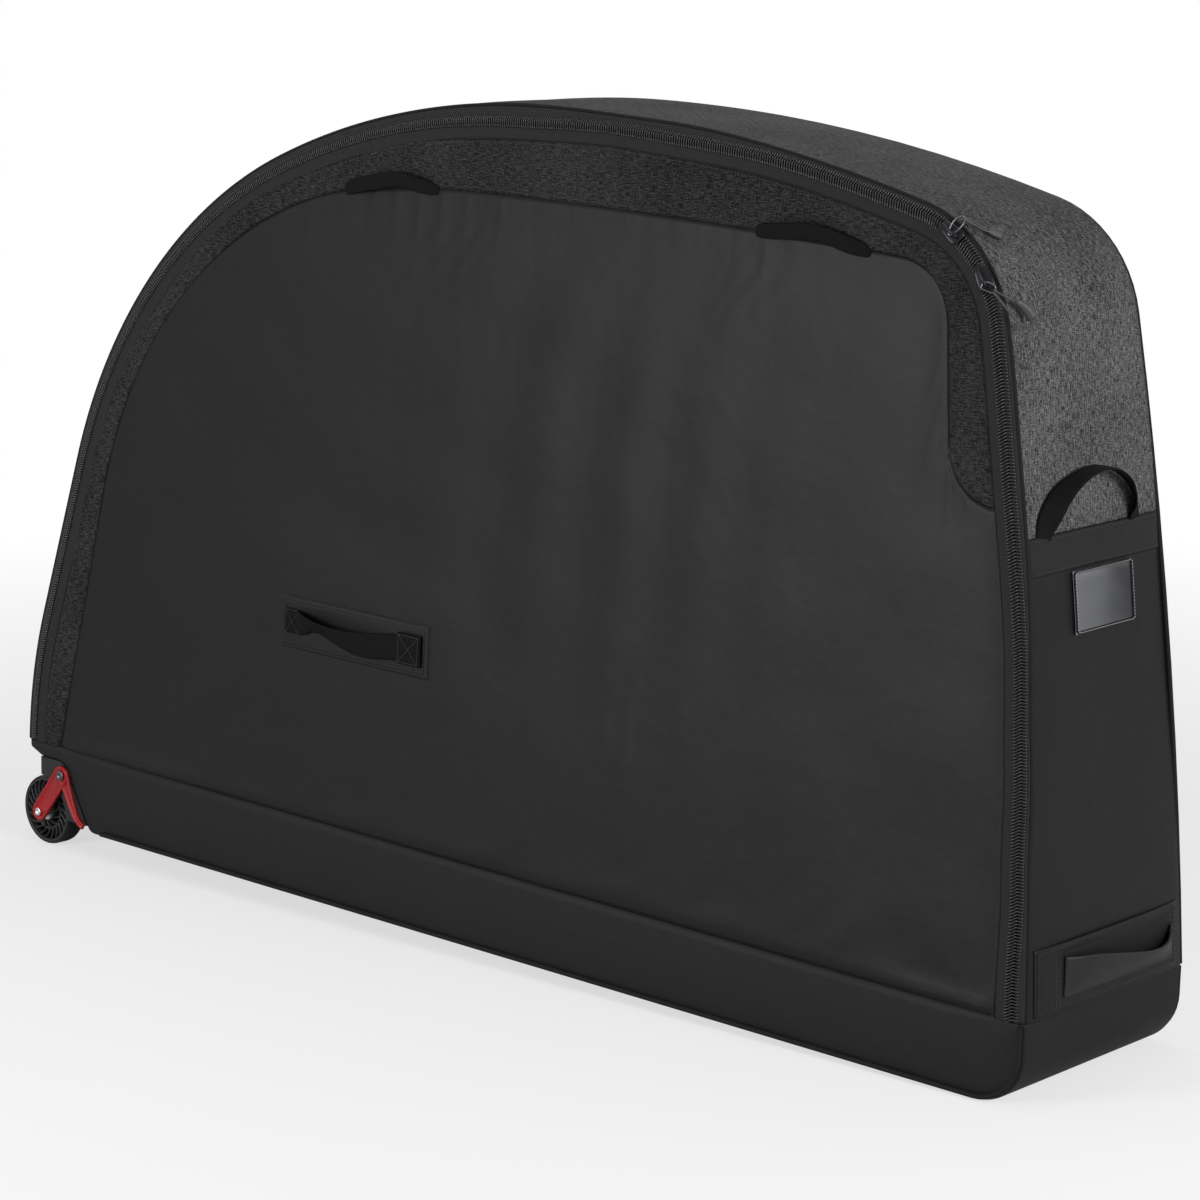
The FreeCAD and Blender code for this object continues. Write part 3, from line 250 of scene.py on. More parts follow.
# how far the near edge of the rim stands out of the frame, and how far inside the rim's line the zip runs
EDGE_PUSH = ((0.0, 0.0), (1.0, 0.0), (1.29, 0.002), (1.45, 0.0055), (1.63, 0.0050), (1.75, 0.0045), (1.90, 0.0070),
             (2.05, 0.0090), (2.20, 0.0055), (2.32, 0.0010), (2.45, 0.0))
FAR_PULL = ((0.0, 0.0), (1.90, 0.0), (2.12, -0.0035), (2.35, 0.0), (2.45, 0.0))
ZIP_INSET = ((0.0, 0.0130), (1.0, 0.0130), (1.18, 0.0145), (1.34, 0.0095), (1.54, 0.0040), (1.66, 0.0042),
             (1.80, 0.0036), (1.92, 0.0036), (2.10, 0.0004), (2.20, 0.0039), (2.31, 0.0088), (2.42, 0.0140))
ZIP_TILT, ZIP_LIFT = math.radians(25), 0.0032
PATCH_MIDDLE, PATCH_HALF = 0.5315 + 0.208j, 0.112 + 0.030j


def padding(reach, across):
    """Height of the rim's cloth off its frame: a crown of 1 - q^4, and the near edge pushed out by a square law."""
    near, far = (1 - across) / 2, (1 + across) / 2
    return (RIM_CROWN * (1 - across ** 4) + eased(reach, EDGE_PUSH) * near ** 2 + eased(reach, FAR_PULL) * far ** 2
            + RIM_RIPPLE * ripple(reach, across * 0.1, 0.4) * (1 - across ** 2))


def ripple(x, y, seed):
    """Soft uneven wave of two lengths: three sines whose directions and phases differ."""
    return (np.sin(21 * x + 9 * y + seed) + np.sin(-13 * x + 24 * y + 2.1 * seed)
            + 0.7 * np.sin(37 * x - 17 * y + 3.7 * seed)) / 2.7


def front(y, z, out=0.0):
    """Places on the front end's cloth: a height on the front arc, off its padded face along the arc's radius."""
    y, z = np.broadcast_arrays(np.asarray(y, float), np.asarray(z, float))
    turn = np.arcsin((z - FRONT.imag) / FRONT_RADIUS)
    down = RIM.place.real > 1.3
    reach = np.interp(-z, -RIM.place.imag[down], RIM.reach[down])
    lift = padding(reach, np.clip(y / half_width(z), -1, 1))
    spot = FRONT + (FRONT_RADIUS + out + lift) * np.exp(1j * turn)
    return level(spot.real, y, spot.imag)


def welt(reach, out, off):
    """Places beside the near edge: out from the rim's line in the panel's plane, and off the panel's face."""
    return panel(NEAR, PANEL.at(reach) + out * PANEL.facing(reach), off)


# ---------------------------------------------------------------- surfaces
class Surface:
    """Grid of points as quads, with cloth coordinates in metres and a finish number for each column of faces."""

    def __init__(self, points, cloth=None, around=False, caps=False, finish=0):
        rows, columns = points.shape[:2]
        self.points = points.reshape(-1, 3)
        wide = np.concatenate([points, points[:, :1]], axis=1) if around else points
        cloth = self.lengths(wide) if cloth is None else cloth
        row, column = np.meshgrid(np.arange(rows - 1), np.arange(wide.shape[1] - 1), indexing="ij")
        turn = [(0, 0), (1, 0), (1, 1), (0, 1)]
        self.faces = np.stack([(row + a) * columns + (column + b) % columns for a, b in turn], -1).reshape(-1, 4)
        self.cloth = np.stack([cloth[row + a, column + b] for a, b in turn], -2).reshape(-1, 4, 2)
        self.finish = np.broadcast_to(finish, row.shape).reshape(-1)
        ends = np.arange(columns)
        self.caps = [ends.tolist(), (ends[::-1] + (rows - 1) * columns).tolist()] if caps else []

    @staticmethod
    def lengths(points):
        """Mean lengths run along the grid's two directions."""
        along = np.linalg.norm(np.diff(points, axis=0), axis=2).mean(axis=1)
        across = np.linalg.norm(np.diff(points, axis=1), axis=2).mean(axis=0)
        runs = [run_lengths(step) for step in (along, across)]
        return np.stack(np.meshgrid(*runs, indexing="ij"), axis=-1)


class Copies:
    """One small closed form repeated at many places: its points turned by each place's three axes."""

    def __init__(self, form, places, axes):
        rows, columns = form.shape[:2]
        local = form.reshape(-1, 3)
        count, size = len(places), rows * columns
        self.points = (places[:, None] + np.einsum("pj,cjk->cpk", local, axes)).reshape(-1, 3)
        base = Surface(form, around=True, caps=True)
        self.faces = (base.faces[None] + np.arange(count)[:, None, None] * size).reshape(-1, 4)
        self.cloth = np.tile(base.cloth, (count, 1, 1))
        self.finish = np.zeros(len(self.faces), int)
        ends = np.array(base.caps)[None] + np.arange(count)[:, None, None] * size
        self.caps = ends.reshape(-1, columns).tolist()


def unit(vectors):
    """Vectors divided by their lengths."""
    return vectors / np.maximum(np.linalg.norm(vectors, axis=-1, keepdims=True), 1e-12)


def off_panel(side):
    """Direction off a side panel's face."""
    return unit(panel(side, 0j, 1.0) - panel(side, 0j, 0.0))


def pair(flat):
    """Cloth coordinates in metres from along + up the panel."""
    return np.stack([flat.real, flat.imag], -1)


def smooth_step(share):
    """Share held between 0 and 1 and eased as 3 s^2 - 2 s^3."""
    share = np.clip(share, 0, 1)
    return share * share * (3 - 2 * share)


def carry(path, side, profile, closed=False, scale=None):
    """Profile carried along a path: each point is the path plus across x side plus over x (way cross side)."""
    way = unit((np.roll(path, -1, 0) - np.roll(path, 1, 0)) if closed else np.gradient(path, axis=0))
    side = unit(np.broadcast_to(side, path.shape) - way * np.sum(way * side, axis=-1, keepdims=True))
    over = np.cross(way, side)
    profile = np.broadcast_to(profile, (len(path),) + np.shape(profile)[-2:])
    if scale is not None:
        profile = profile * np.reshape(scale, (len(path), 1, -1))
    points = path[:, None] + profile[..., :1] * side[:, None] + profile[..., 1:] * over[:, None]
    return np.concatenate([points, points[:1]]) if closed else points


def bar(path, side, profile, scale=None):
    """Solid bar: a closed profile carried along a path and capped at both ends."""
    return Surface(carry(path, side, profile, scale=scale), around=True, caps=True)


def ring(width, height, count=12, power=2.0):
    """Rounded closed profile: a superellipse of half width and half height."""
    turn = np.arange(count) * 2 * math.pi / count
    shape = np.stack([np.cos(turn), np.sin(turn)], -1)
    return np.sign(shape) * np.abs(shape) ** (2 / power) * (width, height)


def tape(width, thickness, count=9):
    """Flat strap profile: two faces of a slightly crowned strip joined by rounded edges."""
    across = np.linspace(-1, 1, count)
    crown = thickness / 2 * (1 - 0.75 * across ** 8)
    upper = np.stack([across * width / 2, crown], -1)
    return np.concatenate([upper, (upper * (1, -1))[::-1]])


def smooth_path(points, count, closed=False):
    """Evenly spaced points of a smooth line through given points (Catmull-Rom pieces)."""
    points = np.asarray(points, float)
    ends = (points[-1:], points[:2]) if closed else (2 * points[:1] - points[1:2], 2 * points[-1:] - points[-2:-1])
    held = np.concatenate([ends[0], points, ends[1]])
    pieces = len(held) - 3
    t = np.linspace(0, pieces, pieces * 24 + 1)
    k = np.minimum(t.astype(int), pieces - 1)
    u = (t - k)[:, None]
    a, b, c, d = held[k], held[k + 1], held[k + 2], held[k + 3]
    curve = 0.5 * (2 * b + (c - a) * u + (2 * a - 5 * b + 4 * c - d) * u ** 2 + (3 * b - a - 3 * c + d) * u ** 3)
    run = run_lengths(np.linalg.norm(np.diff(curve, axis=0), axis=1))
    spots = np.linspace(0, run[-1], count + 1)[:-1] if closed else np.linspace(0, run[-1], count)
    return np.stack([np.interp(spots, run, curve[:, axis]) for axis in range(curve.shape[1])], -1)


def spread(curve, count):
    """Points of a line spaced evenly along it."""
    run = run_lengths(np.abs(np.diff(curve)))
    return between(np.linspace(0, run[-1], count), run, curve)


def patchwork(low, high, left, right):
    """Grid filled from its four border lines: the two ruled surfaces added, less the one through the corners."""
    t, s = np.linspace(0, 1, len(low))[None], np.linspace(0, 1, len(left))[:, None]
    ruled = (1 - s) * low[None] + s * high[None] + (1 - t) * left[:, None] + t * right[:, None]
    return ruled - ((1 - s) * (1 - t) * low[0] + (1 - s) * t * low[-1] + s * (1 - t) * high[0] + s * t * high[-1])


def stitches(points, facing, pitch=0.0042, length=0.0030, radius=0.00042):
    """Thread along a line: a short bar with tapered ends for each pitch, lying on the cloth."""
    run = run_lengths(np.linalg.norm(np.diff(points, axis=0), axis=1))
    count = max(int(run[-1] / pitch), 1)
    spots = (np.arange(count) + 0.5) * run[-1] / count

    def follow(values, at):
        """Vectors at lengths along the line, straight between its points."""
        return np.stack([np.interp(at, run, values[:, axis]) for axis in range(3)], -1)

    way = unit(follow(points, spots + length / 3) - follow(points, spots - length / 3))
    facing = follow(np.broadcast_to(facing, points.shape), spots)
    side = unit(np.cross(facing, way))
    over = np.cross(way, side)
    along = np.array([-0.5, -0.3, 0.3, 0.5]) * length
    thick = np.array([0.45, 1.0, 1.0, 0.45]) * radius
    form = np.concatenate([np.broadcast_to(along[:, None, None], (4, 6, 1)),
                           thick[:, None, None] * ring(1.0, 1.0, 6)[None]], axis=-1)
    return Copies(form, follow(points, spots) + over * radius * 0.4, np.stack([way, side, over], axis=1))


def make_piece(name, surfaces, finishes, body, nodes=(), facing=None, merge=True, wall=None):
    """Mesh object from surfaces, with its finishes by name, its body, the nodes it stands for and its cloth's wall."""
    surfaces = surfaces if isinstance(surfaces, list) else [surfaces]
    points, faces, cloth, finish, base = [], [], [], [], 0
    for surface in surfaces:
        points.append(surface.points)
        faces += (surface.faces + base).tolist() + [[k + base for k in cap] for cap in surface.caps]
        loose = sum(len(cap) for cap in surface.caps)
        cloth += [surface.cloth.reshape(-1, 2), np.zeros((loose, 2))]
        finish += [surface.finish, np.full(len(surface.caps), surface.finish[0] if len(surface.finish) else 0)]
        base += len(surface.points)
    mesh = bpy.data.meshes.new(name)
    mesh.from_pydata(np.concatenate(points).tolist(), [], faces)
    mesh.uv_layers.new(name="cloth").data.foreach_set("uv", np.concatenate(cloth).ravel())
    mesh.polygons.foreach_set("material_index", np.concatenate(finish).astype(np.int32))
    mesh.polygons.foreach_set("use_smooth", np.ones(len(mesh.polygons), bool))
    if merge:
        shell = bmesh.new()
        shell.from_mesh(mesh)
        bmesh.ops.remove_doubles(shell, verts=shell.verts, dist=2e-6)
        bmesh.ops.dissolve_degenerate(shell, dist=1e-6, edges=shell.edges)
        if facing is None:
            bmesh.ops.recalc_face_normals(shell, faces=shell.faces)
        shell.to_mesh(mesh)
        shell.free()
    if facing is not None:
        normals = np.zeros(len(mesh.polygons) * 3)
        mesh.polygons.foreach_get("normal", normals)
        if (normals.reshape(-1, 3) @ np.asarray(facing, float)).sum() < 0:
            mesh.flip_normals()
    for kind in finishes if isinstance(finishes, list) else [finishes]:
        mesh.materials.append(FINISHES[kind])
    piece = bpy.data.objects.new(name, mesh)
    bpy.context.scene.collection.objects.link(piece)
    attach(piece, body)
    if nodes:
        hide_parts(*nodes)
    if wall is not None:
        thicken(piece, wall)
    return piece


def thicken(piece, depth):
    """Gives an open cloth its thickness on the inner side."""
    wall = piece.modifiers.new("cloth thickness", "SOLIDIFY")
    wall.thickness = depth
    wall.offset = -1.0


# ---------------------------------------------------------------- finishes
class Wire:
    """Socket of a node tree that takes part in Python sums, each of which adds a Math node."""

    def __init__(self, maker, socket):
        self.maker, self.socket = maker, socket

    def maths(self, operation, first, second):
        """Math node of two values."""
        return self.maker.node("ShaderNodeMath", {"operation": operation}, {0: first, 1: second})

    def __add__(self, other): return self.maths("ADD", self, other)
    def __radd__(self, other): return self.maths("ADD", other, self)
    def __sub__(self, other): return self.maths("SUBTRACT", self, other)
    def __rsub__(self, other): return self.maths("SUBTRACT", other, self)
    def __mul__(self, other): return self.maths("MULTIPLY", self, other)
    def __rmul__(self, other): return self.maths("MULTIPLY", other, self)


class Finish:
    """Procedural material, built up from its nodes."""

    def __init__(self, name, **fixed):
        self.material = bpy.data.materials.new(name)
        self.material.use_nodes = True
        self.tree = self.material.node_tree
        self.shader = self.tree.nodes["Principled BSDF"]
        for socket, value in fixed.items():
            self.shader.inputs[socket.replace("_", " ")].default_value = value

    def node(self, kind, settings=None, sockets=None, output=0):
        """Adds a node, sets its settings first, then sets or links its sockets, and gives one output."""
        node = self.tree.nodes.new(kind)
        for key, value in (settings or {}).items():
            setattr(node, key, value)
        for key, value in (sockets or {}).items():
            self.join(node.inputs[key], value)
        return Wire(self, node.outputs[output])

    def join(self, socket, value):
        """Links a wire to a socket, or sets the socket's own value."""
        if isinstance(value, Wire):
            self.tree.links.new(value.socket, socket)
        else:
            socket.default_value = value

    def place(self, scale=(1, 1, 1), cloth=False):
        """Coordinates in metres, from the cloth's own map or the object, stretched."""
        spot = self.node("ShaderNodeTexCoord", output="UV" if cloth else "Object")
        return self.node("ShaderNodeMapping", None, {"Vector": spot, "Scale": scale})

    def noise(self, scale, detail=2.0, stretch=(1, 1, 1), cloth=False, roughness=0.5):
        """Cloudy value from 0 to 1."""
        return self.node("ShaderNodeTexNoise", None, {"Vector": self.place(stretch, cloth), "Scale": scale,
                                                      "Detail": detail, "Roughness": roughness})

    def ribs(self, pitch, axis):
        """Even ribs: half of 1 + sine of a coordinate, once each pitch."""
        parts = self.node("ShaderNodeSeparateXYZ", None, {0: self.place(cloth=True)}, output=axis)
        wave = self.node("ShaderNodeMath", {"operation": "SINE"}, {0: parts * (2 * math.pi / pitch)})
        return wave * 0.5 + 0.5

    def blend(self, share, dark, light):
        """Colour between two colours."""
        return self.node("ShaderNodeMix", {"data_type": "RGBA"}, {0: share, 6: tuple(dark), 7: tuple(light)}, output=2)

    def bump(self, height, strength, distance, normal=None):
        """Normal tilted by a height."""
        sockets = {"Height": height, "Strength": strength, "Distance": distance}
        if normal is not None:
            sockets["Normal"] = normal
        return self.node("ShaderNodeBump", None, sockets)

    def done(self, **varying):
        """Feeds the shader's varying sockets and gives the material."""
        for socket, value in varying.items():
            self.join(self.shader.inputs[socket.replace("_", " ")], value)
        return self.material


def shade(colour, factor):
    """Colour made lighter or darker."""
    return tuple(min(channel * factor, 1.0) for channel in colour[:3]) + (1.0,)


def heather_cloth(name, colour):
    """Melange weave: light and dark yarns both ways, flecked, on a plain weave's small bumps."""
    finish = Finish(name, Specular_IOR_Level=0.08)
    weft = finish.noise(1.0, 2.0, (120, 950, 1), True, 0.6)
    warp = finish.noise(1.0, 2.0, (950, 150, 1), True, 0.6)
    fleck = finish.noise(1.0, 2.0, (640, 900, 1), True, 0.8)
    broad = finish.noise(9.0, 2.0, (1, 1, 1), True)
    yarn = weft * 0.42 + warp * 0.26 + fleck * 0.32
    share = finish.node("ShaderNodeMapRange", None, {"Value": yarn + (broad - 0.5) * 0.10, 1: 0.44, 2: 0.59})
    weave = finish.ribs(0.0013, 0) * finish.ribs(0.0013, 1)
    return finish.done(Base_Color=finish.blend(share, shade(colour, 0.11), shade(colour, 2.45)),
                       Roughness=0.80 + share * 0.12, Normal=finish.bump(weave * 0.5 + yarn, 0.40, 0.0005))


def coated_cloth(name, colour, roughness=0.42):
    """Coated cloth: a smooth dark film over a fine weave, with faint handling creases."""
    finish = Finish(name, Specular_IOR_Level=0.15)
    weave = finish.ribs(0.0009, 0) * finish.ribs(0.0009, 1)
    crease = finish.noise(26.0, 4.0, (1, 1, 1), True, 0.55)
    cloud = finish.noise(7.0, 3.0, (1, 1, 1), True)
    dust = finish.noise(900.0, 1.0, (1, 1, 1), True)
    fold = finish.bump(crease, 0.22, 0.004)
    return finish.done(Base_Color=finish.blend(cloud * 0.7 + dust * 0.3, shade(colour, 0.78), shade(colour, 1.25)),
                       Roughness=roughness - 0.05 + cloud * 0.10 + dust * 0.04,
                       Normal=finish.bump(weave + dust * 0.4, 0.25, 0.00025, fold))


def ribbed_webbing(name, colour, gloss=0.14):
    """Webbing: lengthwise ribs crossed by fine picks, with a soft shine on each rib."""
    finish = Finish(name, Specular_IOR_Level=gloss)
    rib = finish.ribs(0.0021, 1)
    pick = finish.ribs(0.0011, 0)
    wear = finish.noise(160.0, 3.0, (1, 1, 1), True)
    share = rib * 0.45 + pick * 0.25 + wear * 0.30
    return finish.done(Base_Color=finish.blend(share, shade(colour, 0.55), shade(colour, 1.6)),
                       Roughness=0.62 + wear * 0.16, Normal=finish.bump(rib + pick * 0.5 * rib, 0.6, 0.0006))


def lining_cloth(name, colour):
    """Brushed lining: a plain weave under short pile."""
    finish = Finish(name, Specular_IOR_Level=0.1)
    pile = finish.noise(1200.0, 3.0, (1, 1, 1), True)
    broad = finish.noise(12.0, 2.0, (1, 1, 1), True)
    return finish.done(Base_Color=finish.blend(pile * 0.6 + broad * 0.4, shade(colour, 0.7), shade(colour, 1.3)),
                       Roughness=0.86 + pile * 0.1, Normal=finish.bump(pile, 0.4, 0.0006))


def moulded_plastic(name, colour, roughness=0.42, grain=900.0, depth=0.0002, **fixed):
    """Moulded plastic or rubber: fine grain, uneven gloss and paler scuffs."""
    finish = Finish(name, **fixed)
    texture = finish.noise(grain, 2.0)
    cloud = finish.noise(14.0, 4.0)
    scuff = finish.node("ShaderNodeMapRange", None, {"Value": finish.noise(60.0, 6.0), 1: 0.56, 2: 0.78})
    return finish.done(Base_Color=finish.blend(scuff * 0.5 + cloud * 0.3, shade(colour, 0.85), shade(colour, 1.45)),
                       Roughness=roughness - 0.06 + cloud * 0.12 + scuff * 0.10,
                       Normal=finish.bump(texture, 0.35, depth))


def metal(name, colour, roughness):
    """Metal: drawn or machined streaks in its gloss and a little tarnish."""
    finish = Finish(name, Metallic=1.0)
    streak = finish.noise(120.0, 3.0, (1, 12, 1))
    cloud = finish.noise(22.0, 3.0)
    return finish.done(Base_Color=finish.blend(cloud, shade(colour, 0.8), shade(colour, 1.1)),
                       Roughness=roughness - 0.06 + streak * 0.14 + cloud * 0.05,
                       Normal=finish.bump(streak, 0.12, 0.0002))


def enamel(name, colour):
    """Gloss enamel on metal: slight orange peel and a cloudy, uneven tone."""
    finish = Finish(name, Coat_Weight=0.05, Coat_Roughness=0.2, Specular_IOR_Level=0.16)
    peel = finish.noise(420.0, 2.0)
    cloud = finish.noise(30.0, 4.0)
    return finish.done(Base_Color=finish.blend(cloud, shade(colour, 0.86), shade(colour, 1.12)),
                       Roughness=0.32 + cloud * 0.12, Normal=finish.bump(peel, 0.15, 0.0002))


def clear_vinyl(name):
    """Clear vinyl over a dark card: broad waves in its gloss and a pale sheen that fades across its width."""
    finish = Finish(name, Specular_IOR_Level=0.45, Alpha=0.9)
    wave = finish.noise(16.0, 1.0, (1, 1, 1), True)
    across = finish.node("ShaderNodeSeparateXYZ", None, {0: finish.place(cloth=True)}, output=0)
    sheen = finish.node("ShaderNodeMapRange", {"interpolation_type": "SMOOTHSTEP"},
                        {"Value": across + (wave - 0.5) * 0.07, 1: 0.052, 2: -0.030})
    return finish.done(Base_Color=finish.blend(sheen, (0.020, 0.021, 0.024, 1), (0.105, 0.107, 0.116, 1)),
                       Roughness=0.16 + wave * 0.10, Normal=finish.bump(wave, 0.5, 0.004))


def printed_card(name):
    """Plain dark card behind the window, a little mottled."""
    finish = Finish(name)
    mottle = finish.noise(70.0, 4.0)
    return finish.done(Base_Color=finish.blend(mottle, (0.020, 0.021, 0.022, 1), (0.05, 0.052, 0.055, 1)),
                       Roughness=0.55 + mottle * 0.15)


FINISHES = {}


def make_finishes(colours):
    """Every finish of the case, by its slot name in the record."""
    FINISHES.update({
        "coated_cloth": coated_cloth("coated_cloth", colours.coated),
        "heather_cloth": heather_cloth("heather_cloth", colours.heather),
        "heather_band": heather_cloth("heather_band", colours.band),
        "boot": coated_cloth("boot_cloth", colours.boot, 0.54),
        # Painted light: the front band's webbing finish is a lighter copy of the straps' webbing.
        "webbing": ribbed_webbing("webbing", colours.webbing),
        "strap": ribbed_webbing("strap_webbing", colours.strap, 0.05),
        "zip_tape": ribbed_webbing("zip_tape", colours.tape),
        "lining": lining_cloth("lining", colours.lining),
        "foam": lining_cloth("foam", colours.lining),
        "cord": moulded_plastic("piping", (0.010, 0.010, 0.011), 0.66, 500.0, Specular_IOR_Level=0.08),
        "zip_coil": moulded_plastic("zip_coil", (0.014, 0.014, 0.015), 0.30, 1500.0, Specular_IOR_Level=0.36),
        "zip_metal": metal("black_metal", (0.022, 0.022, 0.024), 0.30),
        "bright_wire": metal("bright_wire", (0.12, 0.12, 0.125), 0.24),
        "pull": moulded_plastic("pull_rubber", (0.018, 0.018, 0.019), 0.50),
        "rod": moulded_plastic("rod_fibre", (0.028, 0.030, 0.030), 0.40),
        "moulded": moulded_plastic("moulded_black", (0.012, 0.012, 0.013), 0.48, Specular_IOR_Level=0.22),
        "tyre": moulded_plastic("tyre_rubber", (0.011, 0.011, 0.012), 0.62, 700.0, 0.0003, Specular_IOR_Level=0.2),
        "hub": moulded_plastic("hub_plastic", (0.020, 0.020, 0.021), 0.46, Specular_IOR_Level=0.25),
        "steel": metal("zinc_steel", (0.56, 0.57, 0.58), 0.30),
        "dark_bolt": metal("dark_bolt", (0.10, 0.10, 0.11), 0.38),
        "red_bracket": enamel("red_enamel", colours.bracket),
        "rail": metal("drawn_aluminium", (0.60, 0.61, 0.62), 0.36),
        "stand": moulded_plastic("stand_black", (0.020, 0.020, 0.021), 0.38),
        "board": moulded_plastic("board_grey", (0.060, 0.060, 0.062), 0.60, 300.0, 0.0004),
        "window": clear_vinyl("clear_vinyl"),
        "card": printed_card("plain_card"),
        "grip": moulded_plastic("grained_grip", (0.010, 0.010, 0.011), 0.50, 420.0, 0.0010, Specular_IOR_Level=0.22),
        # Painted shade: a darker, duller copy of the coated cloth for the recess behind the grip's lip.
        "pocket": coated_cloth("recess_shade_cloth", (0.0050, 0.0050, 0.0055), 0.6),
        "thread": ribbed_webbing("thread", (0.026, 0.026, 0.027, 1.0)),
        "lead_thread": ribbed_webbing("pale_thread", (0.20, 0.20, 0.205, 1.0)),
    })


# ---------------------------------------------------------------- settings
def span(name, description, default):
    """Length setting."""
    return bpy.props.FloatProperty(name=name, description=description, default=default, unit="LENGTH")


class CaseSizes(bpy.types.PropertyGroup):
    """Sizes of the dressing that may be changed without touching the frame."""
    field_crown: span("Field crown", "How far the dark field swells", 0.0050)
    band_crown: span("Band crown", "How far the grey band swells", 0.0035)
    crease_depth: span("Crease depth", "Depth of the soft creases in the panels", 0.0018)
    coil_pitch: span("Coil pitch", "Length of zip for each turn of its coil", 0.0029)
    boot_edge: span("Boot edge", "Radius of the boot's edges", 0.0038)
    stitch_pitch: span("Stitch pitch", "Length from stitch to stitch", 0.0042)
    strap_thickness: span("Strap thickness", "Thickness of the webbing", 0.0024)
    spokes: bpy.props.IntProperty(name="Spokes", description="Curved spokes of each wheel", default=11, min=3)


def tint(name, description, default):
    """Colour setting."""
    return bpy.props.FloatVectorProperty(name=name, description=description, subtype="COLOR", size=4, min=0.0, max=1.0,
                                         default=default)


class CaseColours(bpy.types.PropertyGroup):
    """Colours of the case's cloths and enamel."""
    heather: tint("Heather", "Grey melange cloth of the rim", (0.059, 0.059, 0.060, 1.0))
    band: tint("Band", "Darker melange cloth of the side panels", (0.0170, 0.0170, 0.0174, 1.0))
    coated: tint("Coated", "Dark coated cloth of the panels", (0.0052, 0.0053, 0.0056, 1.0))
    boot: tint("Boot", "Cloth over the stiff base", (0.0062, 0.0062, 0.0065, 1.0))
    # Painted light: the band's webbing is set over twice as light as the straps', a lit copy of the same webbing for
    # the light on the front end.
    webbing: tint("Webbing", "Woven band across the front end", (0.0115, 0.0115, 0.0122, 1.0))
    strap: tint("Strap", "Black webbing of the loops and the handle", (0.0050, 0.0050, 0.0053, 1.0))
    tape: tint("Zip tape", "Woven tapes beside the coil", (0.014, 0.014, 0.015, 1.0))
    lining: tint("Lining", "Cloth inside the case", (0.045, 0.046, 0.048, 1.0))
    bracket: tint("Bracket", "Enamel of the wheel brackets", (0.25, 0.010, 0.013, 1.0))
    floor: tint("Floor", "Studio floor", (0.86, 0.86, 0.86, 1.0))


# ---------------------------------------------------------------- pieces
def rim_shell(name, low, high, finishes, nodes, count):
    """Padded strip over the rim: the outside follows the padding across it, the inside lies at the frame's depth."""
    reach = np.linspace(low, high, count)[:, None]
    q = np.concatenate([np.linspace(-1, 1, 41), np.linspace(1, -1, 17)])[None]
    outside = (np.arange(58) < 41)[None]
    lift = np.where(outside, padding(reach, q), -RIM_DEPTH)
    spot = RIM.at(reach) + lift * RIM.facing(reach)
    y = q * (half_width(RIM.at(reach).imag) - 0.0002)
    points = level(spot.real, y, spot.imag)
    return make_piece(name, Surface(points, around=True, caps=True, finish=1 - outside), finishes, "case", nodes)


class CASE_OT_rim(bpy.types.Operator):
    """Padded rim over the top and the dark panel of the front end"""
    bl_idname = "travel_case.rim"
    bl_label = "Rim"

    def execute(self, context):
        rim_shell("rim_cover", 0.0, BAND_REACH, ["heather_cloth", "lining"],
                  ("gusset_rear", "gusset_shoulder", "gusset_top", "gusset_corner"), 420)
        rim_shell("front_cover", BAND_REACH, RIM.reach[-1], ["coated_cloth", "lining"],
                  ("front_end_panel",), 120)
        return {"FINISHED"}


def field_grids(inset, across=300, lower=70, upper=30, beyond=40):
    """Places of the dark field: one grid up to the line under the cove, and one from there to the front edge."""
    top, edge, (corner, cove) = field_chain(inset)
    rear = top.reach[np.argmax(top.place.imag > 0.50)]
    below = top.at(cove) + (top.at(cove).imag - DOOR_LIFT) / -FIELD_RUN.imag * FIELD_RUN
    split = below + (top.at(cove) - below) * np.linspace(0, 1, lower)
    left = top.at(np.linspace(0, rear, lower + upper - 1))
    right = np.concatenate([split, top.at(np.linspace(cove, corner, upper))[1:]])
    foot = left[0] + (right[0] - left[0]) * np.linspace(0, 1, across)
    main = patchwork(foot, top.at(np.linspace(rear, corner, across)), left, right)
    low_edge = edge.at(np.linspace(edge.reach[-1], 0, lower))
    strip = patchwork(below + (low_edge[0] - below) * np.linspace(0, 1, beyond),
                      top.at(np.linspace(cove, top.reach[-1], beyond)), split, low_edge)
    return [main, strip], np.concatenate([top.place[::4], edge.place[::4]])


def seam_height(along):
    """Height of the field's top seam on the door at places along it."""
    top = field_chain(DOOR_INSET)[0].place
    top = top[top.imag > 0.56]
    return np.interp(along, top.real, top.imag)


def patch_share(flat, reach):
    """Rises from 0 at the grab handle's patch to 1 at a reach from it, along a smooth step."""
    past = np.maximum(np.abs(flat.real - PATCH_MIDDLE.real) - PATCH_HALF.real, 0) + 1j * np.maximum(
        np.abs(flat.imag - PATCH_MIDDLE.imag) - PATCH_HALF.imag, 0)
    return smooth_step(np.abs(past) / reach)


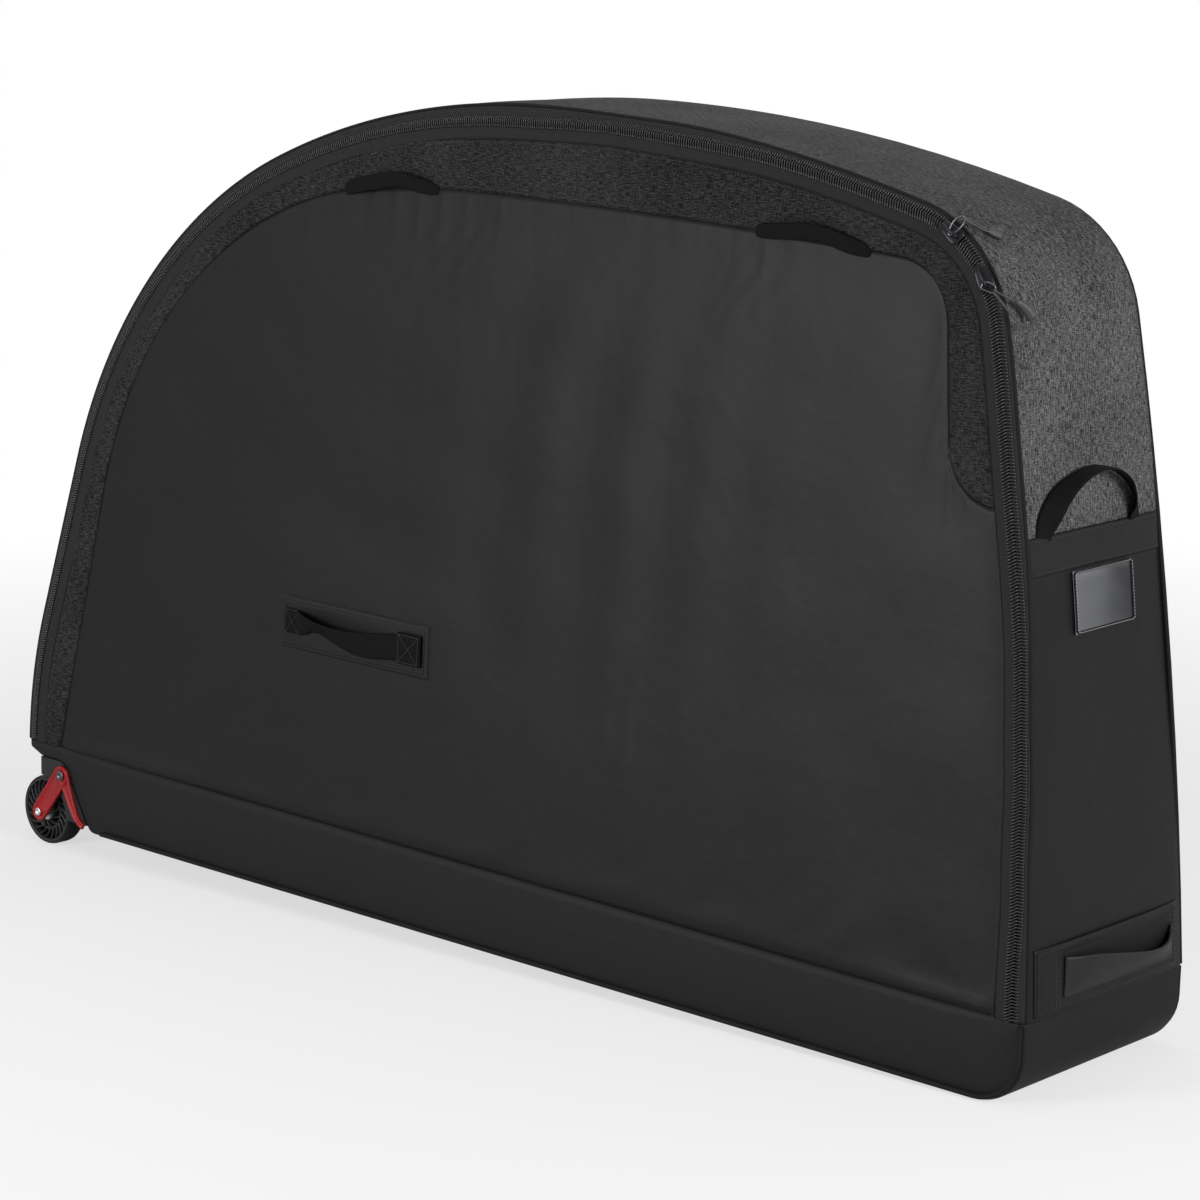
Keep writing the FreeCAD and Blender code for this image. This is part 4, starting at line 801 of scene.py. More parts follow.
def crease_field(flat, depth):
    """Soft creases: slanting gathers of uneven length below the top seam, broad folds lower down and faint ones."""
    x, v = flat.real, flat.imag
    pitch, slope, top, middle, half = 0.031, 0.9, 0.67, 0.70, 0.42
    below = np.clip(seam_height(x) - v, 0, 1)
    phase = 2 * math.pi * (x - slope * (v - top)) / pitch + 1.6 * np.sin(19 * x) + 0.9 * np.sin(43 * x + 1.1)
    window = np.exp(-((x - middle) / half) ** 6)
    length = 0.060 + 0.025 * np.sin(31 * x + 0.5)
    gather = np.sin(phase) * np.exp(-(below / length) ** 1.5)
    gather *= window * (0.60 + 0.40 * np.sin(11 * x + 2.0))
    broad = np.sin(52 * x - 14 * v + 2.5 * np.sin(6 * x) + 1.3 * np.sin(9 * v + 3))
    broad *= np.exp(-((below - 0.30) / 0.28) ** 2)
    broad *= window * (0.55 + 0.45 * np.sin(8 * x + 1.0))
    slant = np.sin(26 * x - 34 * v + 2.2 * np.sin(7 * x)) * 0.45 + np.sin(17 * x + 41 * v + 1.7) * 0.30
    return depth * (gather * 0.50 + broad * 0.60 + slant * 0.55) * patch_share(flat, 0.06)


def border_share(rows, columns, width):
    """Rises from 0 at a grid's border to 1 inside, along a smooth step."""
    s = np.linspace(0, 1, rows)[:, None]
    t = np.linspace(0, 1, columns)[None]
    near = np.minimum(np.minimum(s, 1 - s) * rows / columns * 1.6, np.minimum(t, 1 - t))
    return smooth_step(near / width)


def field_lift(flat, outline, crown, depth):
    """Height of the dark field off its panel: a pillow that rises with the distance from its seam, and its creases."""
    foot_gap, slope_width = 0.030, 0.11
    gap = np.minimum(np.abs(flat[..., None] - outline).min(axis=-1), flat.imag + foot_gap)
    share = np.clip(gap / slope_width, 0, 1)
    share = share * (2 - share)
    return crown * share + np.sqrt(share) * crease_field(flat, depth) + SKIN_GAP


def band_shell(side, inset, crown):
    """Grey band between the field's seam and the zip: rows from the seam outwards, swelling by 4 t (1 - t)."""
    steepness, wave, taps = 0.12, 0.0009, 13
    seam = spread(field_chain(inset)[0].place, 460)
    outer = panel_chain(inset)
    dense = np.linspace(0, outer.reach[-1], 4000)
    gaps = np.abs(outer.at(dense)[None] - seam[:, None])
    reach = np.maximum.accumulate(dense[np.argmin(gaps, axis=1)])
    reach = np.convolve(np.pad(reach, taps // 2, mode="edge"), np.ones(taps) / taps, mode="valid")
    reach[0] = 0.0
    edge = outer.at(reach)
    edge[-1] = seam[-1]
    t = np.linspace(0, 1, 15)[None]
    flat = seam[:, None] * (1 - t) + edge[:, None] * t
    width = np.abs(edge - seam)[:, None]
    swell = 4 * t * (1 - t)
    lift = np.minimum(crown, width * steepness) * swell ** 0.6
    lift = lift + wave * ripple(flat.real, flat.imag, 1.3) * swell + SKIN_GAP
    return Surface(panel(side, flat, lift), pair(flat)), seam


def pad_shell(side, inset):
    """Lining tray behind a panel: a quilted sheet at the pad's depth, turned up at its border to the skin."""
    clearance, lip, wave = 0.0006, 0.0022, 0.0012
    outer = panel_chain(inset + clearance)
    outline, run = outer.place, outer.reach
    low, high = run[np.argmax(outline.imag > 0.50)], run[np.argmax((outline.real > 1.2) & (outline.imag < 0.60))]

    def part(start, end, count):
        """Evenly spaced places between two lengths of the outline."""
        return outer.at(np.linspace(start, end, count))

    left, crown, right = part(0, low, 60), part(low, high, 110), part(high, run[-1], 60)[::-1]
    foot = left[0] + (right[0] - left[0]) * np.linspace(0, 1, 110)
    flat = patchwork(foot, crown, left, right)
    share = border_share(60, 110, 0.06)
    fall_in = np.minimum(share * 1.6, 1.0) ** 0.5
    depth = -lip - (PAD_DEPTH - lip) * fall_in - wave * share * ripple(flat.real, flat.imag, 2.2)
    return Surface(panel(side, flat, depth), pair(flat))


def settle(piece, flat_of, outline, side, spare=0.006, cap=0.0032, frames=16):
    """Lets a panel's cloth settle: held at its seams, cut wider along the top seam, with a little pressure.

    The rest shape is the flat cut stretched along by 1 + spare x exp(-((v - 0.66) / 0.13)^2), so the cloth has
    more length than room there and falls into folds; each point then moves off the panel by the cap at most, and
    less towards the patch, which lies flat on it.
    """
    mesh, scene = piece.data, bpy.context.scene
    start = np.empty(len(mesh.vertices) * 3)
    mesh.vertices.foreach_get("co", start)
    start = start.reshape(-1, 3)
    flat = flat_of(start)
    gap = np.abs(flat[:, None] - outline[None, ::2]).min(axis=1)
    hem = 0.006
    held = (gap < hem) | (flat.imag < hem)
    group = piece.vertex_groups.new(name="held")
    group.add(np.flatnonzero(held).tolist(), 1.0, "REPLACE")
    middle, seam_up, fade, slack = 0.68, 0.66, 0.13, 1.0006
    wide = flat.real - middle
    cut = wide * (1 + spare * np.exp(-((flat.imag - seam_up) / fade) ** 2)) + middle + 1j * flat.imag * slack
    piece.shape_key_add(name="placed")
    rest = piece.shape_key_add(name="flat cut")
    outward = off_panel(side)
    lift = np.sum((start - panel(side, flat, 0.0)) * outward, axis=1)
    rest.data.foreach_set("co", panel(side, cut, lift).ravel())
    cloth = piece.modifiers.new("settle", "CLOTH")
    cloth.settings.quality = 5
    cloth.settings.mass = 0.25
    cloth.settings.tension_stiffness = cloth.settings.compression_stiffness = 25
    cloth.settings.shear_stiffness = 8
    cloth.settings.bending_stiffness = 0.9
    cloth.settings.vertex_group_mass = "held"
    cloth.settings.rest_shape_key = rest
    cloth.settings.use_pressure = True
    cloth.settings.uniform_pressure_force = 0.45
    cloth.settings.effector_weights.gravity = 0.25
    cloth.collision_settings.use_collision = False
    cloth.point_cache.frame_start, cloth.point_cache.frame_end = 1, frames
    for step in range(1, frames + 1):
        scene.frame_set(step)
    settled = piece.evaluated_get(bpy.context.evaluated_depsgraph_get()).to_mesh()
    end = np.empty(len(mesh.vertices) * 3)
    settled.vertices.foreach_get("co", end)
    end = end.reshape(-1, 3)
    scene.frame_set(1)
    piece.modifiers.remove(cloth)
    piece.shape_key_clear()
    piece.vertex_groups.clear()
    move = np.sum((end - start) * outward, axis=1)
    move = cap * np.tanh(move / cap) * patch_share(flat, 0.10)
    mesh.vertices.foreach_set("co", (start + move[:, None] * outward).ravel())
    mesh.update()


def flat_place(side):
    """Turns places in the shared frame back into along + up the panel."""
    base = panel(side, 0j, 0.0)
    up = panel(side, 1j, 0.0) - base
    return lambda points: (points - base) @ AHEAD + 1j * ((points - base) @ up)


class CASE_OT_panels(bpy.types.Operator):
    """Padded side panels: dark field, grey band and quilted lining of the door and of the back"""
    bl_idname = "travel_case.panels"
    bl_label = "Side panels"

    def execute(self, context):
        sizes = context.scene.case_sizes
        for side, name, body, inset in ((NEAR, "door", "door", DOOR_INSET), (FAR, "back", "case", BACK_INSET)):
            outward = off_panel(side)
            grids, outline = field_grids(inset)
            sheets = [Surface(panel(side, flat, field_lift(flat, outline, sizes.field_crown, sizes.crease_depth)),
                              pair(flat)) for flat in grids]
            field = make_piece(f"{name}_field_cloth", sheets, "coated_cloth", body,
                               (f"{name}_field",), facing=outward)
            settle(field, flat_place(side), outline, side)
            thicken(field, SKIN)
            band, seam = band_shell(side, inset, sizes.band_crown)
            make_piece(f"{name}_band_cloth", band, "heather_band", body, (f"{name}_band",),
                       facing=outward, wall=SKIN)
            make_piece(f"{name}_lining", pad_shell(side, inset), "lining", body,
                       (f"{name}_foam", f"{name}_liner"), facing=-outward, wall=LINING_WALL)
            way = np.gradient(seam)
            thread = panel(side, seam + 0.0035j * way / np.abs(way), 0.0010)
            make_piece(f"{name}_seam_stitching", stitches(thread, outward, sizes.stitch_pitch), "thread", body,
                       merge=False)
        return {"FINISHED"}


def across_zip(reach, across, rise_off):
    """Places in the zip's own tilted section: across it towards the rim, and above its tape."""
    out = -eased(reach, ZIP_INSET) + across * math.cos(ZIP_TILT) + rise_off * math.sin(ZIP_TILT)
    return welt(reach, out, ZIP_LIFT - across * math.sin(ZIP_TILT) + rise_off * math.cos(ZIP_TILT))


def tape_strip(start, end):
    """Woven tape between two lines: a closed strip, slightly crowned between its edges."""
    t = np.linspace(0, 1, 8)
    t, over = np.concatenate([t, t[::-1]])[None, :, None], np.concatenate([1 - (2 * t - 1) ** 6, np.zeros(8)])
    points = start[:, None] * (1 - t) + end[:, None] * t + off_panel(NEAR) * (0.0003 + 0.0008 * over)[None, :, None]
    return Surface(points, around=True, caps=True)


def coil(reach_end, row, pitch, phase):
    """Zip coil: a wire wound as a flattened helix along the zip, its turns leaning like the real one's."""
    start, margin, lean, wire = 0.003, 0.004, 0.0010, 0.00076
    row_gap, half_wide, height, half_high = 0.0030, 0.0033, 0.0012, 0.0013
    turns = (reach_end - margin) / pitch
    angle = np.linspace(0, turns * 2 * math.pi, int(turns * 12))
    reach = start + angle / (2 * math.pi) * pitch + row * lean * np.cos(angle + phase)
    path = across_zip(reach, row * row_gap + half_wide * np.cos(angle + phase),
                      height + half_high * np.sin(angle + phase))
    return bar(path, off_panel(NEAR), ring(wire, wire, 6))


def zip_axes(bearing):
    """Place on the zip's corner and three directions: down along the zip, across it towards the rim, and off it."""
    reach = RIM.reach[np.argmin(np.abs(np.angle((RIM.place - CORNER) / np.exp(1j * math.radians(bearing)))
                                       + 9 * (np.abs(np.abs(RIM.place - CORNER) - CORNER_RADIUS) > 1e-4)))]
    spot = across_zip(reach, 0.0, 0.0)
    along = unit(across_zip(reach + 0.002, 0.0, 0.0) - across_zip(reach - 0.002, 0.0, 0.0))
    off = unit(across_zip(reach, 0.0, 0.01) - spot)
    return spot, along, unit(across_zip(reach, 0.01, 0.0) - spot), off


def in_axes(axes, local):
    """Places from lengths along a piece's own three directions."""
    spot, along, across, off = axes
    return spot + local[..., :1] * along + local[..., 1:2] * across + local[..., 2:] * off


def blob(sections, axes, count=14, power=3.0):
    """Rounded bar: superellipse sections given as (along, shift, half width, half height, height)."""
    data = np.asarray(sections, float)[:, None]
    profile = ring(1.0, 1.0, count, power)[None]
    shift = data[..., 1:2] + data[..., 2:3] * profile[..., :1]
    height = data[..., 4:5] + data[..., 3:4] * profile[..., 1:]
    local = np.concatenate([np.broadcast_to(data[..., :1], shift.shape), shift, height], axis=-1)
    return Surface(in_axes(axes, local), around=True, caps=True)


def wire_loop(points, axes, radius, count=40, closed=True):
    """Bent wire: a round profile along a smooth closed line given in a piece's own three directions."""
    path = in_axes(axes, smooth_path(points, count, closed))
    tilt = unit(axes[3] + 0.31 * axes[2])
    return Surface(carry(path, tilt, ring(radius, radius, 8), closed), around=True, caps=not closed)


def toggle(knots, sections, axes):
    """Moulded pull: rounded flat sections carried along a bent line given in the zip's own directions."""
    path = in_axes(axes, smooth_path(knots, len(sections)))
    side = np.cross(axes[3], unit(np.gradient(path, axis=0)))
    return bar(path, side, ring(1.0, 1.0, 12, 2.6), np.array(sections))


class CASE_OT_zip(bpy.types.Operator):
    """Large coil zip round the door with its tapes, hem, edge cord, sliders and pulls"""
    bl_idname = "travel_case.zip"
    bl_label = "Zip"

    def execute(self, context):
        sizes = context.scene.case_sizes
        margin, tape_edge, hem_gap, thread_gap = 0.0008, 0.0042, 0.0175, 0.0200
        end = RIM.reach[-1] - margin
        reach = np.linspace(margin, end, 700)
        inset, push = eased(reach, ZIP_INSET), eased(reach, EDGE_PUSH)
        hem = welt(reach, -inset - hem_gap, 0.0024)
        outward = off_panel(NEAR)
        make_piece("zip_tape_rim_weave", tape_strip(across_zip(reach, tape_edge, 0.0), welt(reach, push - 0.0004, 0.0)),
                   "zip_tape", "case", ("zip_tape_rim",))
        make_piece("zip_tape_door_weave", tape_strip(across_zip(reach, -tape_edge, 0.0), hem),
                   "zip_tape", "door", ("zip_tape_door",))
        make_piece("door_hem", bar(hem, outward, ring(0.0010, 0.0009, 8)), "cord", "door")
        thread = welt(reach, -inset - thread_gap, 0.0030)
        make_piece("door_hem_stitching", stitches(thread, outward, sizes.stitch_pitch), "thread", "door",
                   merge=False)
        for name, body, row, phase in (("rim", "case", 1, 0.0), ("door", "door", -1, math.pi)):
            make_piece(f"zip_coil_{name}_turns", coil(end, row, sizes.coil_pitch, phase), "zip_coil", body,
                       (f"zip_coil_{name}",))
        cord = welt(reach, push + 0.0004, -0.0008)
        make_piece("edge_cord_near", bar(cord, outward, ring(0.0016, 0.0016, 10)), "cord", "case",
                   ("edge_piping_near",))
        plate = [(-0.0125, 0, 0.0026, 0.0008, 0.0040), (-0.0120, 0, 0.0052, 0.0018, 0.0040),
                 (-0.0050, 0, 0.0060, 0.0021, 0.0042), (0.0020, 0, 0.0074, 0.0021, 0.0042),
                 (0.0095, 0, 0.0080, 0.0019, 0.0040), (0.0120, 0, 0.0060, 0.0015, 0.0040),
                 (0.0126, 0, 0.0030, 0.0008, 0.0040)]
        bail = [(-0.0090, 0, 0.0056), (-0.0080, 0, 0.0090), (-0.0036, 0, 0.0104), (0.0042, 0, 0.0104),
                (0.0084, 0, 0.0088), (0.0094, 0, 0.0056)]
        bars = [(0.0012, 0.0011), (0.0024, 0.0018), (0.0036, 0.0023), (0.0029, 0.0020), (0.0042, 0.0025),
                (0.0033, 0.0021), (0.0045, 0.0026), (0.0036, 0.0022), (0.0048, 0.0027), (0.0044, 0.0025),
                (0.0020, 0.0014)]
        for name, bearing, rings, hang, grip in (
                ("upper", 58, [(0.0030, -0.003, 0.0088), (0.0062, 0.003, 0.0094), (0.0055, 0.012, 0.0080),
                               (0.001, 0.0175, 0.0062), (-0.0030, 0.012, 0.0080), (-0.0012, 0.003, 0.0094)],
                 [(0.001, 0.0160, 0.0072), (0.0070, 0.0172, 0.0010), (0.0130, 0.0196, -0.0090),
                  (0.0200, 0.0240, -0.0200), (0.0185, 0.0250, -0.0225), (0.0105, 0.0212, -0.0120),
                  (0.0045, 0.0186, -0.0010)],
                 [(0.0150, 0.0218, -0.0150), (0.0185, 0.0244, -0.0205), (0.0225, 0.0275, -0.0285)]),
                ("lower", 33, [(0.0055, -0.0005, 0.0088), (0.0085, 0.0042, 0.0094), (0.0130, 0.0070, 0.0084),
                               (0.0178, 0.0041, 0.0066), (0.0135, -0.0012, 0.0084), (0.0090, -0.0042, 0.0094)],
                 [(0.0160, 0.0040, 0.0072), (0.0250, 0.0115, 0.0052), (0.0340, 0.0175, -0.0070),
                  (0.0440, 0.0205, -0.0140), (0.0530, 0.0185, -0.0120), (0.0535, 0.0140, -0.0010),
                  (0.0420, 0.0100, 0.0058), (0.0270, 0.0064, 0.0076)],
                 [(0.0300, 0.0165, -0.0020), (0.0380, 0.0205, -0.0110), (0.0490, 0.0215, -0.0160)])):
            axes = zip_axes(bearing)
            make_piece(f"slider_{name}_body", [blob(plate, axes), wire_loop(bail, axes, 0.0014, 30, False)],
                       "zip_metal", f"slider_{name}", (f"zip_slider_{name}",))
            make_piece(f"pull_{name}_ring", wire_loop(rings, axes, 0.00065), "bright_wire", f"pull_{name}")
            make_piece(f"pull_{name}_tag", [wire_loop(hang, axes, 0.0011, 60), toggle(grip, bars, axes)],
                       "pull", f"pull_{name}", (f"zip_pull_{name}",))
        return {"FINISHED"}


BOOT_LINE = Chain(bends([LENGTH + 1j * SEAM, LENGTH + 0j, 0.104 - 0.010j, 0.060 + 0.064j, 0.020 + 0.064j,
                         0.000 + 0.072j, 0.000 + 1j * SEAM], [0.052, 0.012, 0.014, 0.006, 0.003]))


class CASE_OT_boot(bpy.types.Operator):
    """Stiff base covered with cloth: rounded edges and a recess over the wheels"""
    bl_idname = "travel_case.boot"
    bl_label = "Boot"

    def execute(self, context):
        edge = context.scene.case_sizes.boot_edge
        belly, lip_width, near_lip, far_lip = 0.0012, 0.0046, 0.0018j, 0.0100j
        reach = np.unique(np.concatenate([np.linspace(0, BOOT_LINE.reach[-1], 300), np.linspace(0, 0.14, 60)]))
        share = reach / reach[-1]
        turn = np.linspace(0, math.pi / 2, 8)
        wall_y = HALF_BASE + belly * np.sin(math.pi * np.linspace(0, 1, 9))[:-1]
        inset = np.concatenate([np.full(9, edge), edge * (1 - np.sin(turn)), np.zeros(9),
                                edge * (1 - np.sin(turn))[::-1], np.full(9, edge)])
        round_y = HALF_BASE - edge + edge * np.cos(turn)
        lip = [HALF_BASE - lip_width]
        y = np.concatenate([np.negative(lip), -wall_y, -round_y, np.linspace(-1, 1, 11)[1:-1] * (HALF_BASE - edge),
                            round_y[::-1], wall_y[::-1], lip])
        climb = np.concatenate([[1], np.linspace(1, 0, 9)[:-1], np.zeros(25), np.linspace(0, 1, 9)[1:], [1]])
        foot = BOOT_LINE.at(reach[:, None], inset[None])
        top = (LENGTH - edge) + (2 * edge - LENGTH) * share + 1j * SEAM
        spot = foot * (1 - climb[None]) + top[:, None] * climb[None]
        spot = spot.real + 1j * np.minimum(spot.imag, SEAM)
        spot[:, 0] += near_lip  # meets the zip
        spot[:, -1] += far_lip  # rises behind the back's lining
        points = level(spot.real, np.broadcast_to(y[None], spot.shape), spot.imag)
        make_piece("boot_cover", Surface(points), "boot", "case", ("base_tray",), wall=BOOT_WALL)
        return {"FINISHED"}


def strap_surface(path, side, width, thickness, scale=None):
    """Webbing: a flat profile carried along its path with its wide face towards the side direction's normal."""
    return bar(path, side, tape(width, thickness), scale)


class CASE_OT_webbing(bpy.types.Operator):
    """Webbing on the door: two carrying loops, the grab handle, their patches and box stitching"""
    bl_idname = "travel_case.webbing"
    bl_label = "Webbing"

    def execute(self, context):
        sizes = context.scene.case_sizes
        thick = sizes.strap_thickness
        outward = off_panel(NEAR)
        tabs = []
        drop, arch, sway, root, bow = 0.0020, 0.0088, 0.0012, -0.0016, 0.0105
        half = LOOP_SPAN / 2
        for name, middle in LOOP_PLACES.items():
            s = np.linspace(-1, 1, 80)
            along = middle + s * (half + 0.003)
            above = seam_height(along) - drop + arch * (1 - s ** 2) ** 0.9 + sway * np.sin(5 * s + middle)
            path = panel(NEAR, along + 1j * above, root + bow * (1 - s ** 4) ** 0.8)
            side = np.cross(outward, unit(np.gradient(path, axis=0)))
            side = side + outward * (0.30 * np.sin(3.0 * s + 0.4) * (1 - s ** 2))[:, None]
            taper = np.stack([0.45 + 0.55 * (1 - s ** 6) ** 0.7, np.ones(80)], -1)
            make_piece(f"loop_{name}_strap", strap_surface(path, side, LOOP_WIDTH, thick, taper), "strap",
                       f"loop_{name}", (f"door_loop_{name}",))
            for end in (-1, 1):
                u, v = np.meshgrid(np.linspace(-0.013, 0.013, 13), np.linspace(-0.022, -0.002, 9), indexing="ij")
                along = middle + end * (half - 0.012) + u
                out = -0.0008 - 0.02 * v * (v + 0.022)
                tabs.append(Surface(panel(NEAR, along + 1j * (seam_height(along) + v), out)))
        make_piece("loop_tab_covers", tabs, "coated_cloth", "door", ("loop_tabs",), facing=outward,
                   wall=LINING_WALL)

        u, v = np.meshgrid(np.linspace(0.422, 0.641, 70), np.linspace(0.180, 0.236, 24), indexing="ij")
        fold = 0.0056 + (0.0010 * (1 - np.abs((u - PATCH_MIDDLE.real) / 0.1095) ** 14)
                         * (1 - np.abs((v - PATCH_MIDDLE.imag) / 0.028) ** 10))
        make_piece("grab_patch_cloth", Surface(panel(NEAR, u + 1j * v, fold), np.stack([u, v], -1)),
                   "coated_cloth", "door", ("grab_patch",), facing=outward, wall=PATCH_WALL)
        knots = [(0.430, 0.2090, 0.0078, 0.0), (0.446, 0.2090, 0.0082, 0.0), (0.457, 0.2100, 0.0108, 0.25),
                 (0.470, 0.2120, 0.0150, 0.80), (0.487, 0.2105, 0.0172, 1.0), (0.508, 0.2065, 0.0172, 0.80),
                 (0.532, 0.2035, 0.0160, 0.45), (0.556, 0.2030, 0.0138, 0.15), (0.580, 0.2055, 0.0104, 0.0),
                 (0.600, 0.2075, 0.0086, 0.0), (0.626, 0.2080, 0.0080, 0.0)]
        local = smooth_path(knots, 110)
        path = panel(NEAR, local[:, 0] + 1j * local[:, 1], local[:, 2])
        flat_side = unit(panel(NEAR, 1j, 0.0) - panel(NEAR, 0j, 0.0))
        twist = local[:, 3:] * 0.72
        side = flat_side * np.cos(twist) + outward * np.sin(twist)
        narrow = np.stack([1 - 0.22 * local[:, 3], np.ones(110)], -1)
        s, t = np.meshgrid(np.linspace(0, 1, 40), np.linspace(-1, 1, 15), indexing="ij")
        tall = 0.0165 * np.clip(s / 0.28, 0.03, 1.0)
        tab = 0.0094 + 0.0014 * (1 - t ** 8) * (1 - np.abs(2 * s - 1) ** 10)
        spot = 0.587 + 0.045 * s + 1j * (0.2080 + tall * t)
        make_piece("grab_strap", strap_surface(path, side, GRAB_WIDTH, thick, narrow), "strap", "door",
                   ("grab_handle",))
        make_piece("grab_tab", Surface(panel(NEAR, spot, tab), pair(spot)), "strap", "door",
                   facing=outward, wall=PATCH_WALL)
        seams = []
        for left, right, low, high, out in ((0.4315, 0.4520, 0.1965, 0.2215, 0.0096),
                                            (0.6015, 0.6295, 0.1940, 0.2220, 0.0110)):
            ring_line = [left + 1j * low, right + 1j * low, right + 1j * high, left + 1j * high, left + 1j * low]
            cross = [[left + 1j * low, right + 1j * high], [left + 1j * high, right + 1j * low]]
            for run in [ring_line] + cross:
                seams.append(stitches(panel(NEAR, polyline(run), out), outward, 0.0032, 0.0024))
        border = [0.425 + 0.183j, 0.638 + 0.183j, 0.638 + 0.233j, 0.425 + 0.233j, 0.425 + 0.183j]
        for shift in (0.0, 0.004):
            away = [p - PATCH_MIDDLE for p in border]
            inner = [p - shift * (np.sign(q.real) + 1j * np.sign(q.imag)) for p, q in zip(border, away)]
            seams.append(stitches(panel(NEAR, polyline(inner), 0.0068), outward, 0.0034, 0.0025))
        make_piece("grab_stitching", seams, "thread", "door", merge=False)
        return {"FINISHED"}


def end_sheet(y_range, z_range, height, rows, columns):
    """Sheet on the front end between two widths and two heights, lifted by a function of its two shares."""
    s, t = np.meshgrid(np.linspace(0, 1, rows), np.linspace(0, 1, columns), indexing="ij")
    y = y_range[0] + (y_range[1] - y_range[0]) * s
    z = z_range[0] + (z_range[1] - z_range[0]) * t
    return Surface(front(y, z, height(s, t)), np.stack([y, z], -1))


class CASE_OT_front_end(bpy.types.Operator):
    """Front end: webbing band and loop, clear card window, sewn flap and the moulded hand grip"""
    bl_idname = "travel_case.front_end"
    bl_label = "Front end"

    def execute(self, context):
        sizes = context.scene.case_sizes

        def rounded(s, t, power):
            """Flat in the middle and down at the edges: 1 - |2 s - 1|^power, times the same of t."""
            return (1 - np.abs(2 * s - 1) ** power) * (1 - np.abs(2 * t - 1) ** power)

        # The band takes the lighter webbing copy, which is painted light.
        make_piece("end_band_webbing", end_sheet((-0.1075, 0.1075), (BAND_FOOT, BAND_TOP), lambda s, t: 0.0008
                   + 0.0020 * rounded(s, t, 12), 80, 21), "webbing", "case", ("end_band",), facing=AHEAD,
                   wall=0.0022)
        knots = [(-0.086, 0.496, 0.0006, 0.0), (-0.085, 0.507, 0.0014, 0.10), (-0.080, 0.524, 0.0070, 0.45),
                 (-0.062, 0.543, 0.0115, 0.80), (-0.036, 0.555, 0.0150, 1.0), (-0.010, 0.559, 0.0160, 1.0),
                 (0.016, 0.555, 0.0150, 1.0), (0.042, 0.543, 0.0115, 0.80), (0.060, 0.524, 0.0070, 0.45),
                 (0.065, 0.507, 0.0014, 0.10), (0.066, 0.496, 0.0006, 0.0)]
        local = smooth_path(knots, 110)
        path = front(local[:, 0], local[:, 1], local[:, 2])
        way = unit(np.gradient(path, axis=0))
        out = front(local[:, 0], local[:, 1], 1.0) - front(local[:, 0], local[:, 1], 0.0)
        flat_side = unit(np.cross(out, way))
        twist = local[:, 3:] * math.radians(78)
        side = flat_side * np.cos(twist) - out * np.sin(twist)
        make_piece("end_loop_strap", strap_surface(path, side, END_LOOP_WIDTH, sizes.strap_thickness), "strap",
                   "loop_end", ("end_loop",))
        make_piece("window_sheet", end_sheet((-0.043, 0.055), (0.416, 0.472), lambda s, t: 0.0020 + 0.0012
                   * rounded(s, t, 6) + 0.0005 * np.sin(9 * s + 5 * t) * rounded(s, t, 4), 50, 30),
                   "window", "case", ("id_window",), facing=AHEAD, wall=0.0006)
        make_piece("card_sheet", end_sheet((-0.0405, 0.0525), (0.4185, 0.4695), lambda s, t: 0.0008 + 0.0006
                   * rounded(s, t, 8), 24, 16), "card", "case", ("id_card",), facing=AHEAD, wall=0.0004)
        border = np.array([(-0.0415, 0.4175), (0.0535, 0.4175), (0.0535, 0.4705), (-0.0415, 0.4705)])
        around = np.concatenate([a + (b - a) * np.linspace(0.03, 0.97, 24)[:, None]
                                 for a, b in zip(border, np.roll(border, -1, 0))])
        strip = carry(front(around[:, 0], around[:, 1], 0.0028), AHEAD, ring(0.0005, 0.0012, 10, 3.0), True)
        make_piece("window_border", Surface(strip, around=True), "cord", "case")
        make_piece("grip_flap", end_sheet((-0.113, 0.113), (0.0845, 0.146), lambda s, t: 0.0008 + 0.0018
                   * rounded(s, t, 16) + 0.0022 * np.sin(math.pi * s) * t ** 6, 90, 30),
                   "coated_cloth", "case", ("grip_backing",), facing=AHEAD, wall=0.0018)
        # This sheet over the flap behind the grip's lip is painted shade: it stands in for the shade of the recess
        # there.
        make_piece("grip_recess_shade", end_sheet((-0.072, 0.099), (0.100, 0.1385), lambda s, t: 0.0030 + 0.0008
                   * rounded(s, t, 12), 60, 14), "pocket", "case", facing=AHEAD, wall=0.0006)
        s, t = np.meshgrid(np.linspace(-1, 1, 97), np.linspace(0, 1, 19), indexing="ij")
        edge = smooth_path([(-1.0, 0.0375), (-0.6, 0.0345), (-0.1, 0.0265), (0.4, 0.0190), (0.75, 0.0205),
                            (1.0, 0.0330)], 80)
        lip = np.interp(s, edge[:, 0], edge[:, 1])
        bow = 0.0150 * (1 - s ** 4) ** 0.9
        swell = 0.0024 * np.sin(math.pi * t) * (1 - s ** 8)
        hand = front(0.0135 + 0.0865 * s, 0.0955 + t * lip, 0.0040 + bow * t ** 1.2 + swell)
        make_piece("grip_bar", Surface(hand), "grip", "case", ("end_grip",), facing=AHEAD, wall=GRIP_WALL)
        out = front(0.0, 0.1, 1.0) - front(0.0, 0.1, 0.0)
        seams = []
        span = np.linspace(-0.104, 0.104, 100)
        margin = 0.003
        for height in (BAND_FOOT + margin, BAND_TOP - margin):
            seams.append(stitches(front(span, height, 0.0026), out, sizes.stitch_pitch))
        low = np.linspace(0.088, 0.142, 40)
        for y in (-0.109, -0.084, -0.079, 0.104, 0.109):
            seams.append(stitches(front(y, low, 0.0024), out, sizes.stitch_pitch))
        seams.append(stitches(front(np.linspace(-0.108, 0.108, 120), 0.1425, 0.0030), out, sizes.stitch_pitch))
        make_piece("end_stitching", seams, "thread", "case", merge=False)
        edge = np.concatenate([around, around[:1]])
        make_piece("window_stitching", stitches(front(edge[:, 0], edge[:, 1], 0.0038), out, 0.0030, 0.0021),
                   "lead_thread", "case", merge=False)
        return {"FINISHED"}


